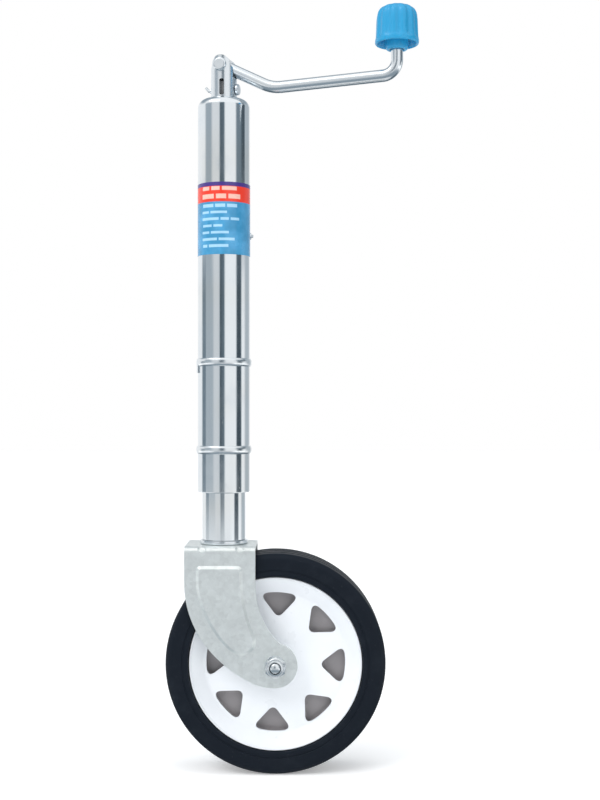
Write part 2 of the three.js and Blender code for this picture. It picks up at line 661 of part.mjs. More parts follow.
const grip = piece('knob', knob(), BLUE_PLASTIC);
grip.position.x = ROD_CORNER.along;
crankFrame.add(grip);

const leg = new THREE.Group().add(
  piece('inner_tube', innerTube(), BRIGHT_ZINC),
  piece('lead_nut', leadNut(), BRONZE),
  piece('end_plug', endPlug(), DULL_ZINC),
  piece('kingpin', kingpin(), DULL_ZINC),
  piece('kingpin_nut', kingpinNut(), DULL_ZINC),
);

const forkGroup = new THREE.Group().add(
  piece('fork', fork(), DULL_ZINC),
  piece('swivel_washer', swivelWasher(), BRIGHT_ZINC),
  piece('under_washer', underWasher(), BRIGHT_ZINC),
);

const axleGroup = new THREE.Group().add(
  piece('axle_bolt', axleBolt(), BRIGHT_ZINC),
  piece('axle_nut', axleNut(), BRIGHT_ZINC),
  piece('axle_washer_front', axleWasher(-1), BRIGHT_ZINC),
  piece('axle_washer_rear', axleWasher(1), BRIGHT_ZINC),
  piece('axle_sleeve', axleSleeve(), GREASED_STEEL),
);
axleGroup.position.copy(AXLE);

const wheel = new THREE.Group().add(
  piece('tyre', tyre(), RUBBER),
  piece('rim_front', piercedDisc(-1), WHITE_PAINT),
  piece('rim_rear', piercedDisc(1), WHITE_PAINT),
  piece('rim_core', rimCore(), WHITE_PAINT),
  piece('hub_tube', hubTube(), WHITE_PAINT),
  piece('hub_bush_front', hubBush(-1), NYLON),
  piece('hub_bush_rear', hubBush(1), NYLON),
);
wheel.position.copy(AXLE);

const jack = new THREE.Group().add(housing, spindle, crankFrame, leg, forkGroup, axleGroup, wheel);

export default jack;
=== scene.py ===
"""Looks for a trailer tongue jack, modelled round its fixed frame. Metres, +Z up.

The origin is on the tube's axis, midway between the two clamp rings. +X is the side to which
the wheel trails, and -Y is the side that shows the axle nut.
"""

import math

import bpy
from bpy.props import FloatProperty, FloatVectorProperty, IntProperty, PointerProperty
from mathutils import Euler, Matrix, Vector


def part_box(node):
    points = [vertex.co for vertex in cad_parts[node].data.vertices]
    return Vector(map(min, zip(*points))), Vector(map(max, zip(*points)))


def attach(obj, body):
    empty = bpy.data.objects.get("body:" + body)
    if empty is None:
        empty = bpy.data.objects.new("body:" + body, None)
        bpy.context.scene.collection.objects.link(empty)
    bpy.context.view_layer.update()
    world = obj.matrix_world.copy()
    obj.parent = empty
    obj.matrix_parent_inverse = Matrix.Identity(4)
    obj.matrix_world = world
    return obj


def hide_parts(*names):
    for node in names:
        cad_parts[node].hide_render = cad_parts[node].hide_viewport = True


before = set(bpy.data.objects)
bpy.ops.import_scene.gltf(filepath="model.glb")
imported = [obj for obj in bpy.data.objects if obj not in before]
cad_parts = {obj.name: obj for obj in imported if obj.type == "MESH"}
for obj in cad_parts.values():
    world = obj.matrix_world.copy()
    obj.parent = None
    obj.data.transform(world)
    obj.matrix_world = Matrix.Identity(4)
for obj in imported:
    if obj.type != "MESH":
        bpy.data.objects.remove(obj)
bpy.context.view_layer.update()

bl_info = {
    "name": "Trailer jack",
    "version": (1, 0, 0),
    "blender": (4, 5, 0),
    "location": "View3D > Sidebar > Trailer jack",
    "description": "Models a clamp-type trailer jack with a swivelling wheel",
    "category": "Add Mesh",
}

MM = 0.001
AXIS_SLIVER = 0.001          # radius in mm that stands for a point on the axis, before merging


def corners_mm(node):
    """A frame node's lowest and highest corners, in millimetres."""
    low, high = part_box(node)
    return low / MM, high / MM


TUBE_LOW, TUBE_HIGH = corners_mm("outer_tube")
LEG_LOW, LEG_HIGH = corners_mm("inner_tube")
TYRE_LOW, TYRE_HIGH = corners_mm("tyre")
RING_HALF = 3.75             # half a clamp ring's height
UPPER_RING_Z = corners_mm("upper_clamp_ring")[1].z - RING_HALF
LOWER_RING_Z = sum(c.z for c in corners_mm("lower_clamp_ring")) / 2
LABEL_LOW, LABEL_HIGH = corners_mm("label")

AXLE = (TYRE_LOW + TYRE_HIGH) / 2
AT_AXLE = (AXLE.x, 0, AXLE.z)
TUBE_R = TUBE_HIGH.x
LEG_R = LEG_HIGH.x
WHEEL_R = (TYRE_HIGH.x - TYRE_LOW.x) / 2
TYRE_HALF = TYRE_HIGH.y
CRANK_TURN = math.radians(-15)     # the crank stands 15 degrees towards the nut side
WHEEL_TURN = math.radians(3.2)     # where the wheel's holes start
PIVOT_Z = 312.5              # the pin that the crank folds on
CROSS_PIN_Z = 291
PLATE_TOP = corners_mm("fork")[1].z
FORK_HALF = 31               # half the fork's width over its cheeks
SHEET = 3.5                  # thickness of the fork's sheet
SPANNER = 17                 # width over the flats of the axle bolt and nut
BOLT_SEAT = FORK_HALF + 2.1  # where the bolt's head and the nut meet their washers


# ---------- sizes and colours that a user may change ----------
def colour(name, description, default):
    return FloatVectorProperty(
        name=name, description=description, default=default, subtype="COLOR", min=0, max=1, size=3)


def length_mm(name, description, default):
    return FloatProperty(name=name, description=description, default=default, min=0)


class JackSizes(bpy.types.PropertyGroup):
    tube_segments: IntProperty(
        name="Tube segments", description="Facets round the tubes", default=128, min=24)
    wheel_segments: IntProperty(
        name="Wheel segments", description="Facets round the wheel", default=160, min=40)
    edge_mm: length_mm("Edge", "Rounding of cut and pressed edges, in millimetres", 0.5)
    flute_mm: length_mm("Flute depth", "Depth of the knob's flutes, in millimetres", 1.5)
    groove_mm: length_mm("Groove depth", "Depth of the tyre's tread grooves, in millimetres", 1.6)


class JackColours(bpy.types.PropertyGroup):
    zinc: colour("Zinc", "Bright zinc plate", (0.80, 0.845, 0.875))
    sheet: colour("Galvanised sheet", "Matt galvanised fork", (0.84, 0.88, 0.87))
    paint: colour("Wheel paint", "White powder coat", (0.87, 0.90, 0.935))
    # The core's grey is painted shade: it darkens the web behind the wheel's holes to stand for the
    # shade seen through them.
    core: colour("Wheel core", "Shaded grey web behind the wheel's holes", (0.37, 0.35, 0.36))
    rubber: colour("Rubber", "Blue-black solid tyre", (0.007, 0.011, 0.018))
    knob: colour("Knob", "Sky blue moulded plastic", (0.018, 0.31, 0.58))
    label_field: colour("Label field", "Lower part of the label", (0.040, 0.26, 0.48))
    label_band: colour("Label band", "Upper band of the label", (0.82, 0.045, 0.02))
    label_strip: colour("Label strip", "Thin strip along the label's top", (0.06, 0.035, 0.22))
    bronze: colour("Bronze", "Nut and thrust washer", (0.50, 0.32, 0.13))
    # The steel is darker than bare steel: partly real grease, partly painted shade so the lead screw
    # reads dark through the clevis's window.
    steel: colour("Steel", "Greased machined steel", (0.24, 0.245, 0.25))
    nylon: colour("Nylon", "Moulded bushes", (0.72, 0.70, 0.62))


class JackStage(bpy.types.PropertyGroup):
    distance: FloatProperty(
        name="Distance", description="Camera to the tube's axis", default=1.15, unit="LENGTH")
    aside: FloatProperty(
        name="Aside", description="Camera to the right of the tube", default=0.07015, unit="LENGTH")
    height: FloatProperty(
        name="Height", description="Camera above the clamp's middle", default=0.00554, unit="LENGTH")
    lens: FloatProperty(
        name="Lens", description="Focal length", default=56.07, unit="CAMERA")
    key_watts: FloatProperty(
        name="Key light", description="Power of the large light on the left", default=14, unit="POWER")
    fill_watts: FloatProperty(
        name="Fill light", description="Power of the light from above", default=11, unit="POWER")
    floor: colour("Floor", "Pale floor", (0.9, 0.9, 0.9))
    floor_glow: FloatProperty(
        name="Floor glow", description="Light that the floor gives by itself", default=0.3, min=0)


# ---------- shader arithmetic ----------
class Value:
    """A shader socket that takes Python arithmetic. Each operation adds its Math node."""

    def __init__(self, recipe, socket):
        self.recipe = recipe
        self.socket = socket

    def math(self, operation, *operands):
        inputs = dict(enumerate(operands))
        return self.recipe.node("ShaderNodeMath", {"operation": operation}, inputs)

    def __add__(self, other):
        return self.math("ADD", self, other)

    def __sub__(self, other):
        return self.math("SUBTRACT", self, other)

    def __rsub__(self, other):
        return self.math("SUBTRACT", other, self)

    def __mul__(self, other):
        return self.math("MULTIPLY", self, other)

    __radd__ = __add__
    __rmul__ = __mul__

    def smooth(self, low, high):
        """0 below low, 1 above high, and a soft step between."""
        inputs = {"Value": self, "From Min": low, "From Max": high}
        return self.recipe.node("ShaderNodeMapRange", {"interpolation_type": "SMOOTHSTEP"}, inputs)

    def band(self, low, high, soft):
        """1 between low and high, and 0 outside, with edges of the given softness."""
        return self.smooth(low - soft, low + soft) * (1 - self.smooth(high - soft, high + soft))


class Recipe:
    """The node tree of a material, or of the world, as it is put together."""

    def __init__(self, tree):
        self.tree = tree
        tree.nodes.clear()

    def node(self, kind, settings=None, inputs=None, output=0):
        """Adds a node: its settings first, then the values or links of its sockets."""
        made = self.tree.nodes.new(kind)
        for name, value in (settings or {}).items():
            setattr(made, name, value)
        for name, value in (inputs or {}).items():
            if isinstance(value, Value):
                self.tree.links.new(value.socket, made.inputs[name])
            else:
                made.inputs[name].default_value = value
        return Value(self, made.outputs[output]) if made.outputs else None

    def place(self, stretch=(1, 1, 1), shift=(0, 0, 0)):
        """Object coordinates in millimetres, stretched and shifted."""
        where = self.node("ShaderNodeTexCoord", output="Object")
        scale = tuple(s / MM for s in stretch)
        inputs = {"Vector": where, "Scale": scale, "Location": shift}
        return self.node("ShaderNodeMapping", None, inputs)

    def axes(self, vector):
        """The three parts of a vector or colour."""
        parts = self.node("ShaderNodeSeparateXYZ", None, {0: vector}).socket.node
        return [Value(self, socket) for socket in parts.outputs]

    def noise(self, size, detail=3, rough=0.55, stretch=(1, 1, 1), shift=(0, 0, 0)):
        """Noise from 0 to 1 with features about size millimetres across."""
        inputs = {"Vector": self.place(stretch, shift), "Scale": 1 / size,
                  "Detail": detail, "Roughness": rough}
        return self.node("ShaderNodeTexNoise", None, inputs)

    def cells(self, size, output="Distance", shift=(0, 0, 0)):
        """Cells about size millimetres across: a colour each, or the distance to a cell's point."""
        inputs = {"Vector": self.place(shift=shift), "Scale": 1 / size}
        return self.node("ShaderNodeTexVoronoi", None, inputs, output)

    def mix(self, factor, first, second):
        """Blends two colours; each is four numbers or a Value."""
        made = self.tree.nodes.new("ShaderNodeMix")
        made.data_type = "RGBA"
        sockets = (made.inputs["Factor"], made.inputs[6], made.inputs[7])
        for socket, value in zip(sockets, (factor, first, second)):
            if isinstance(value, Value):
                self.tree.links.new(value.socket, socket)
            else:
                socket.default_value = value
        return Value(self, made.outputs[2])

    def bump(self, height, distance_mm, strength=1.0, under=None):
        """Relief of the given depth, in millimetres, over another bump if there is one."""
        inputs = {"Height": height, "Distance": distance_mm * MM, "Strength": strength}
        if under is not None:
            inputs["Normal"] = under
        return self.node("ShaderNodeBump", None, inputs)


def rgba(rgb, gain=1.0):
    """A colour, brightened or darkened by gain, with its alpha."""
    return (*(min(1.0, c * gain) for c in rgb), 1.0)


def material(name, build):
    """A material whose Principled inputs are what build(recipe) returns."""
    made = bpy.data.materials.new(name)
    made.use_nodes = True
    recipe = Recipe(made.node_tree)
    shader = recipe.node("ShaderNodeBsdfPrincipled", None, build(recipe))
    recipe.node("ShaderNodeOutputMaterial", None, {"Surface": shader})
    return made


DRAWN_ALONG_Z = (1, 1, 0.015)
NO_GRAIN = (1, 1, 1)


def drawn_zinc(colours, stretch, rough):
    """Bright zinc plate: fine lines along the way it was drawn, pale stains and small pits."""
    def build(r):
        lines = r.noise(0.45, 2, 0.6, stretch)
        broad = r.noise(3.2, 2, 0.5, stretch)
        cloud = r.noise(34, 3, 0.55)
        stain = r.noise(90, 2, 0.5, shift=(70, 20, 11)).smooth(0.45, 0.75)
        pits = 1 - r.cells(5.5, shift=(3, 8, 1)).smooth(0.02, 0.09)
        tint = r.mix(stain, rgba(colours.zinc), rgba((0.78, 0.80, 0.79)))
        tint = r.mix(cloud.smooth(0.5, 0.8) * 0.35, tint, rgba((0.62, 0.70, 0.78)))
        tint = r.mix(pits * 0.35, tint, rgba((0.45, 0.47, 0.48)))
        roughness = rough + 0.07 * cloud.smooth(0.35, 0.75) + 0.04 * lines + 0.2 * pits
        ripple = r.bump(broad, 0.010, 1.0)
        grain = r.bump(lines, 0.0035, 1.0, ripple)
        return {"Base Color": tint, "Metallic": 1.0, "Roughness": roughness, "Normal": grain}

    return build


def galvanised(colours):
    """Matt galvanised sheet: soft spangle, pale bloom, small drips and dark specks."""
    def build(r):
        spangle = r.cells(3.4, output="Color")
        grain = r.axes(spangle)[0]
        fine = r.noise(0.7, 3, 0.6)
        cloud = r.noise(8, 4, 0.65, shift=(9, 4, 2))
        drip = r.noise(7, 2, 0.5, (1, 1, 0.25), (5, 1, 7)).smooth(0.62, 0.74)
        specks = 1 - r.cells(2.3, shift=(1, 1, 5)).smooth(0.03, 0.14)
        dark = rgba(colours.sheet, 0.90)
        light = rgba(colours.sheet, 1.10)
        tint = r.mix(0.4 * grain + 0.6 * cloud.smooth(0.2, 0.8), dark, light)
        tint = r.mix(drip * 0.25, tint, rgba((0.72, 0.75, 0.73)))
        tint = r.mix(specks * 0.3, tint, rgba((0.36, 0.37, 0.36)))
        roughness = 0.38 + 0.12 * cloud - 0.06 * grain
        relief = r.bump(cloud, 0.05, 0.6)
        relief = r.bump(fine, 0.02, 0.8, relief)
        return {"Base Color": tint, "Metallic": 0.8, "Roughness": roughness, "Normal": relief}

    return build


def powder_coat(base, dirt=0.10):
    """Gloss powder coat: orange peel, faint dust in soft patches and a few scuffs."""
    def build(r):
        peel = r.noise(1.7, 2, 0.5)
        cloud = r.noise(24, 4, 0.6)
        scuff = r.noise(0.9, 3, 0.7, (1, 1, 0.12), (2, 8, 3)).smooth(0.70, 0.80)
        scuff = scuff * r.noise(18, 2, 0.5, shift=(6, 1, 4)).smooth(0.5, 0.7)
        tint = r.mix(cloud.smooth(0.4, 0.85) * dirt, rgba(base), rgba(base, 0.72))
        tint = r.mix(scuff * 0.35, tint, rgba(base, 0.6))
        roughness = 0.24 + 0.10 * cloud + 0.25 * scuff
        return {"Base Color": tint, "Metallic": 0.0, "Roughness": roughness,
                "Coat Weight": 0.3, "Normal": r.bump(peel, 0.018, 0.7)}

    return build


def solid_rubber(colours):
    """Blue-black moulded rubber: fine skin, grey bloom and light dust."""
    def build(r):
        skin = r.noise(0.55, 3, 0.65)
        cloud = r.noise(16, 4, 0.6)
        bloom = cloud.smooth(0.48, 0.8)
        dust = r.noise(2.4, 3, 0.6, shift=(4, 4, 4)).smooth(0.60, 0.85)
        tint = r.mix(bloom * 0.35, rgba(colours.rubber), rgba((0.020, 0.026, 0.035)))
        tint = r.mix(dust * 0.14, tint, rgba((0.10, 0.10, 0.10)))
        roughness = 0.46 + 0.14 * bloom + 0.10 * skin
        relief = r.bump(cloud, 0.10, 0.5)
        return {"Base Color": tint, "Metallic": 0.0, "Roughness": roughness,
                "Specular IOR Level": 0.13, "Normal": r.bump(skin, 0.03, 0.8, relief)}

    return build


def moulded_plastic(base, rough=0.27):
    """Moulded plastic: a fine spark-eroded texture and slightly worn patches."""
    def build(r):
        texture = r.noise(0.35, 2, 0.6)
        cloud = r.noise(11, 3, 0.6)
        rubbed = cloud.smooth(0.5, 0.8)
        tint = r.mix(rubbed * 0.16, rgba(base), rgba(base, 1.3))
        flow = r.noise(6, 3, 0.6, shift=(8, 1, 2)).smooth(0.58, 0.8)
        tint = r.mix(flow * 0.14, tint, rgba(base, 0.7))
        roughness = rough + 0.10 * texture - 0.08 * rubbed
        return {"Base Color": tint, "Metallic": 0.0, "Roughness": roughness,
                "Normal": r.bump(texture, 0.012, 0.8)}

    return build


def machined(base, rough=0.3):
    """Machined metal with turning marks and a film of grease."""
    def build(r):
        marks = r.noise(0.5, 2, 0.6, (0.1, 0.1, 1))
        film = r.noise(9, 3, 0.6).smooth(0.35, 0.75)
        tint = r.mix(film, rgba(base), rgba(base, 0.6))
        roughness = rough + 0.12 * film + 0.1 * marks
        return {"Base Color": tint, "Metallic": 1.0, "Roughness": roughness,
                "Normal": r.bump(marks, 0.006, 0.8)}

    return build


def printed_film(colours):
    """The label: colour bands with plain bars that stand for lines of print."""
    # Each row: middle height and height of the bars, then the first and last angle of each bar,
    # in degrees from the front.
    field_rows = ((181.6, 3.0, -48, -20, -16, 6, 10, 33), (175.6, 2.2, -50, -31, -27, 10),
                  (169.6, 2.4, -50, -8, -4, 14, 18, 38), (163.4, 2.2, -48, -24, -20, 0),
                  (157.3, 2.2, -50, -30, -26, 14), (151.2, 2.4, -50, -12, -8, 27),
                  (145.2, 2.6, -48, -35, -31, 13))
    band_rows = ((197.2, 3.4, -49, -30, -25, -6, -1, 32), (190.0, 4.2, -50, -19, -14, 8, 13, 41))
    band_foot, strip_foot = (184.9, 185.5), (199.0, 199.7)      # heights where each colour starts

    def build(r):
        x, y, z = r.axes(r.place())
        angle = x.math("ARCTAN2", x, 0 - y) * math.degrees(1)
        fade = r.noise(13, 2, 0.5, shift=(3, 3, 3))

        def bars(rows):
            total = None
            for middle, height, *ends in rows:
                row = z.band(middle - height / 2, middle + height / 2, 0.35)
                for first, last in zip(ends[::2], ends[1::2]):
                    bar = row * angle.band(first, last, 0.8)
                    total = bar if total is None else total + bar
            return total * (0.75 + 0.25 * fade)

        worn = fade.smooth(0.3, 0.75) * 0.55
        field = r.mix(worn, rgba(colours.label_field), rgba((0.12, 0.44, 0.76)))
        field = r.mix(bars(field_rows), field, rgba((0.42, 0.70, 0.90)))
        band = r.mix(bars(band_rows), rgba(colours.label_band), rgba((0.92, 0.60, 0.50)))
        tint = r.mix(z.smooth(*band_foot), field, band)
        tint = r.mix(z.smooth(*strip_foot), tint, rgba(colours.label_strip))
        crease = r.noise(5, 2, 0.5, (1, 1, 0.3))
        return {"Base Color": tint, "Metallic": 0.0, "Roughness": 0.22 + 0.08 * fade,
                "Coat Weight": 0.15, "Normal": r.bump(crease, 0.02, 0.6)}

    return build


def make_finishes(colours):
    """All the finishes by name."""
    builds = {
        "zinc_tube": drawn_zinc(colours, DRAWN_ALONG_Z, 0.08),
        "zinc_small": drawn_zinc(colours, NO_GRAIN, 0.20),
        "zinc_rod": drawn_zinc(colours, NO_GRAIN, 0.17),
        "galvanised_sheet": galvanised(colours),
        "wheel_paint": powder_coat(colours.paint),
        # The core's grey powder coat is painted shade behind the wheel's holes.
        "core_painted_shade": powder_coat(colours.core, 0.3),
        "solid_rubber": solid_rubber(colours),
        "knob_plastic": moulded_plastic(colours.knob),
        "nylon": moulded_plastic(colours.nylon, 0.45),
        "bronze": machined(colours.bronze),
        # Greased steel, darkened partly as painted shade for the clevis's window.
        "greased_steel": machined(colours.steel, 0.26),
        "printed_film": printed_film(colours),
    }
    return {name: material(name, build) for name, build in builds.items()}


FINISHES = {}


# ---------- modelling ----------
def deselect():
    bpy.ops.object.select_all(action="DESELECT")


def activate(piece):
    deselect()
    piece.select_set(True)
    bpy.context.view_layer.objects.active = piece


def edit(piece):
    """Goes into edit mode with the whole piece selected."""
    activate(piece)
    bpy.ops.object.mode_set(mode="EDIT")
    bpy.ops.mesh.select_all(action="SELECT")


def leave():
    """Goes back to object mode."""
    bpy.ops.object.mode_set(mode="OBJECT")


def select_where(piece, kind, chosen):
    """Goes into edit mode with only the chosen points ("VERT") or faces ("FACE") selected."""
    edit(piece)
    bpy.ops.mesh.select_mode(type=kind)
    bpy.ops.mesh.select_all(action="DESELECT")
    leave()
    for item in piece.data.vertices if kind == "VERT" else piece.data.polygons:
        item.select = chosen(item)
    bpy.ops.object.mode_set(mode="EDIT")


def modify(piece, kind, **settings):
    """Adds a modifier with the given settings, and applies it."""
    activate(piece)
    modifier = piece.modifiers.new(kind.lower(), kind)
    for name, value in settings.items():
        setattr(modifier, name, value)
    bpy.ops.object.modifier_apply(modifier=modifier.name)
    return piece


def settle(piece):
    """Applies a piece's place to its mesh."""
    activate(piece)
    bpy.ops.object.transform_apply(location=True, rotation=True, scale=True)
    return piece


def clean(piece, merge=0.01):
    """Merges doubles and turns the faces outwards."""
    edit(piece)
    bpy.ops.mesh.remove_doubles(threshold=merge * MM)
    bpy.ops.mesh.normals_make_consistent(inside=False)
    leave()
    return piece


def turned(name, profile, segments=48, axis="Z", at=(0, 0, 0), turn=0.0):
    """Turns a profile of (radius, height) pairs, in mm: a circle is extruded ring by ring.

    Height runs along the given axis, from the point at. turn then turns the piece about Z."""
    (r, h), *rest = [(max(r, AXIS_SLIVER), h) for r, h in profile]
    deselect()
    bpy.ops.mesh.primitive_circle_add(vertices=segments, radius=r * MM, location=(0, 0, h * MM))
    piece = settle(bpy.context.object)
    piece.name = piece.data.name = name
    edit(piece)
    for next_r, next_h in rest:
        step = (0, 0, (next_h - h) * MM)
        bpy.ops.mesh.extrude_region_move(TRANSFORM_OT_translate={"value": step})
        grow = next_r / r
        bpy.ops.transform.resize(value=(grow, grow, 1), center_override=(0, 0, next_h * MM))
        r, h = next_r, next_h
    leave()
    clean(piece)
    stand = {"Z": (0, 0, 0), "Y": (-math.pi / 2, 0, 0), "X": (0, math.pi / 2, 0)}[axis]
    piece.matrix_world = (Matrix.Translation(Vector(at) * MM) @ Matrix.Rotation(turn, 4, "Z")
                          @ Euler(stand).to_matrix().to_4x4())
    return settle(piece)


def arc(centre, radius, start, end, steps=8, height=None):
    """Points of an arc, with angles in degrees. With a height it is part of an ellipse."""
    angles = [math.radians(start + (end - start) * i / steps) for i in range(steps + 1)]
    return [(centre[0] + radius * math.cos(a), centre[1] + (height or radius) * math.sin(a))
            for a in angles]


def bezier(p0, p1, p2, p3, steps=16):
    """Points of a curve from p0 to p3, leaving out p0."""
    found = []
    for i in range(1, steps + 1):
        t = i / steps
        k = ((1 - t) ** 3, 3 * t * (1 - t) ** 2, 3 * t * t * (1 - t), t ** 3)
        found.append(tuple(sum(w * p[axis] for w, p in zip(k, (p0, p1, p2, p3))) for axis in (0, 1)))
    return found


def rounded(corners, radius, steps=3, closed=True):
    """Rounds the corners of a profile. A closed one comes back with its first point repeated."""
    count = len(corners)
    found = []
    for i, corner in enumerate(corners):
        if not closed and i in (0, count - 1):
            found.append(corner)
            continue
        here, before, after = (Vector(corners[j % count]) for j in (i, i - 1, i + 1))
        reach = min(radius, (before - here).length * 0.45, (after - here).length * 0.45)
        start = here + (before - here).normalized() * reach
        end = here + (after - here).normalized() * reach
        found += [tuple(start.lerp(here, t).lerp(here.lerp(end, t), t))
                  for t in (s / steps for s in range(steps + 1))]
    return found + found[:1] if closed else found


def ring_profile(inner, outer, low, high, edge):
    """The section of a ring, its corners rounded by edge."""
    return rounded([(inner, low), (outer, low), (outer, high), (inner, high)], edge)


def plate(name, outlines, half, edge=0.0):
    """A sheet cut to outlines in X and Z, 2 x half mm thick, centred on Y = 0, edges rounded."""
    deselect()
    bpy.ops.curve.primitive_bezier_circle_add(radius=MM)
    piece = bpy.context.object
    flat = piece.data
    flat.splines.clear()
    flat.dimensions = "2D"
    flat.fill_mode = "BOTH"
    flat.extrude = (half - edge) * MM
    flat.bevel_depth = edge * MM
    flat.bevel_resolution = 3
    for outline in outlines:
        spline = flat.splines.new("POLY")
        spline.points.add(len(outline) - 1)
        for point, (x, z) in zip(spline.points, outline):
            point.co = (x * MM, z * MM, 0, 1)
        spline.use_cyclic_u = True
    flat.offset = -edge * MM
    bpy.ops.object.convert(target="MESH")
    piece = bpy.context.object
    piece.name = piece.data.name = name
    piece.rotation_euler = (math.pi / 2, 0, 0)
    settle(piece)
    return clean(piece, 0.002)


def carve(piece, *tools, operation="DIFFERENCE"):
    """Cuts the tools from a piece, or joins or meets them with it, and removes them."""
    for tool in tools:
        modify(piece, "BOOLEAN", operation=operation, solver="EXACT", object=tool)
        bpy.data.objects.remove(tool)
    return piece


def soften(piece, width, segments=2, angle=35):
    """Rounds every edge that is sharper than angle, in degrees."""
    return modify(piece, "BEVEL", width=width * MM, segments=segments,
                  limit_method="ANGLE", angle_limit=math.radians(angle))


def block(x, y, z):
    """A plain box to cut with, from (low, high) pairs in mm."""
    deselect()
    middle = [(low + high) / 2 * MM for low, high in (x, y, z)]
    bpy.ops.mesh.primitive_cube_add(size=1, location=middle)
    piece = bpy.context.object
    piece.scale = [(high - low) * MM for low, high in (x, y, z)]
    return settle(piece)


def drill(radius, low, high, axis="Z", at=(0, 0, 0), segments=48, turn=0.0):
    """A round tool to cut with."""
    profile = [(0, low), (radius, low), (radius, high), (0, high)]
    return turned("drill", profile, segments, axis, at, turn)


def turn_about_z(piece, angle):
    piece.rotation_euler = (0, 0, angle)
    return settle(piece)


def degrees_round(point):
    """Where a point stands round the Z axis, in degrees from +X."""
    return math.degrees(math.atan2(point.y, point.x)) % 360


def copy_of(piece, name):
    """A copy with its own mesh."""
    twin = piece.copy()
    twin.data = piece.data.copy()
    twin.name = twin.data.name = name
    bpy.context.scene.collection.objects.link(twin)
    return twin


def finish_piece(piece, body, finish, replaces=(), smooth=32):
    """Shades, paints and names what a finished piece rides on and stands for."""
    activate(piece)
    bpy.ops.object.shade_smooth_by_angle(angle=math.radians(smooth))
    modify(piece, "WEIGHTED_NORMAL", keep_sharp=True)
    piece.data.materials.clear()
    piece.data.materials.append(FINISHES[finish])
    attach(piece, body)
    if replaces:
        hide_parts(*replaces)
    return piece


def zinc_piece(piece, body, *replaces):
    """Finishes a small piece in bright zinc."""
    return finish_piece(piece, body, "zinc_small", replaces)


def washer(name, node, body, radii, edge, segments=64, along="Z"):
    """A washer in a frame node's place, on the tube's axis, or on the axle if along is "Y"."""
    low, high = corners_mm(node)
    bottom, top, at = (low.z, high.z, (0, 0, 0)) if along == "Z" else (low.y, high.y, AT_AXLE)
    edge = min(edge, (top - bottom) * 0.4)
    ring = turned(name, ring_profile(*radii, bottom, top, edge), segments, along, at)
    return zinc_piece(ring, body, node)


def bent_rod(name, radius, points, bends, segments=32, cap_edge=0.6):
    """A round rod through corner points (x, z), in mm: extruded along legs, spun round bends."""
    corners = [Vector((x, 0, z)) for x, z in points]
    legs = [(b - a).normalized() for a, b in zip(corners, corners[1:])]
    deselect()
    bpy.ops.mesh.primitive_circle_add(
        vertices=segments, radius=radius * MM, location=corners[0] * MM, fill_type="NGON",
        rotation=legs[0].to_track_quat("Z", "Y").to_euler())
    piece = settle(bpy.context.object)
    piece.name = piece.data.name = name
    edit(piece)
    here = corners[0]
    for i, leg in enumerate(legs):
        last = i == len(legs) - 1
        turning = 0.0 if last else leg.angle(legs[i + 1])
        bend = 0.0 if last else bends[i]
        trim = bend * math.tan(turning / 2)
        goal = corners[i + 1] - leg * trim
        bpy.ops.mesh.extrude_region_move(TRANSFORM_OT_translate={"value": (goal - here) * MM})
        here = goal
        if last:
            continue
        up = leg.cross(legs[i + 1]).normalized()
        centre = here + up.cross(leg).normalized() * bend
        steps = max(4, round(math.degrees(turning) / 6))
        bpy.ops.mesh.spin(steps=steps, angle=-turning, center=centre * MM, axis=up)
        here = corners[i + 1] + legs[i + 1] * trim
    leave()
    clean(piece)
    return soften(piece, cap_edge, 3, 60)


# ---------- housing ----------
def make_tube():
    sizes = bpy.context.scene.jack_sizes
    wall, shoulder, hole = 2.5, 8, 9
    bore = TUBE_R - wall
    top = TUBE_HIGH.z
    centre = (TUBE_R - shoulder, top - shoulder)
    profile = [
        (bore, TUBE_LOW.z + 0.5), (bore + 0.4, TUBE_LOW.z), (TUBE_R - 0.8, TUBE_LOW.z),
        (TUBE_R - 0.2, TUBE_LOW.z + 0.25), (TUBE_R, TUBE_LOW.z + 0.9),
        *arc(centre, shoulder, 0, 90, 14),
        (hole + 0.6, top), (hole, top - 0.6), (hole, top - wall),
        *arc(centre, shoulder - wall, 90, 0, 8), (bore, TUBE_LOW.z + 0.5),
    ]
    tube = turned("tube_shell", profile, sizes.tube_segments)
    return finish_piece(tube, "housing", "zinc_tube", ["outer_tube"])


def bead(name, middle):
    """A rolled ring, half round outside."""
    sizes = bpy.context.scene.jack_sizes
    proud, root = 1.4, TUBE_R - 0.4
    profile = [(root, middle - RING_HALF), *arc((TUBE_R, middle), proud, -90, 90, 15, RING_HALF),
               (root, middle + RING_HALF), (root, middle - RING_HALF)]
    return turned(name, profile, sizes.tube_segments)


def make_clamp_rings():
    """Both clamp rings, and the small key tab that hangs below the upper one."""
    for name, middle, node in (("lower_ring", LOWER_RING_Z, "lower_clamp_ring"),
                               ("upper_ring", UPPER_RING_Z, "upper_clamp_ring")):
        zinc_piece(bead(name, middle), "housing", node)
    low = corners_mm("upper_clamp_ring")[0].z
    sizes = bpy.context.scene.jack_sizes
    sleeve = ring_profile(TUBE_R - 0.2, TUBE_R + 1.3, low, UPPER_RING_Z, 0.5)
    tab = turned("key_tab", sleeve, sizes.tube_segments)
    carve(tab, block((-30, -10), (-9.9, -4.1), (low - 5, UPPER_RING_Z + 5)), operation="INTERSECT")
    soften(tab, 0.4, 3)
    zinc_piece(tab, "housing")


def make_label():
    segments = 96
    bare = 165              # degrees of the tube that the label leaves bare, from +X
    profile = ring_profile(TUBE_R + 0.03, TUBE_R + 0.19, LABEL_LOW.z, LABEL_HIGH.z, 0.05)
    film = turned("label_film", profile, segments)
    select_where(film, "FACE", lambda face: degrees_round(face.center) < bare)
    bpy.ops.mesh.delete(type="FACE")
    bpy.ops.mesh.select_mode(type="VERT")
    bpy.ops.mesh.select_all(action="SELECT")
    bpy.ops.mesh.fill_holes(sides=0)
    bpy.ops.mesh.normals_make_consistent(inside=False)
    leave()
    return finish_piece(film, "housing", "printed_film", ["label"], 50)


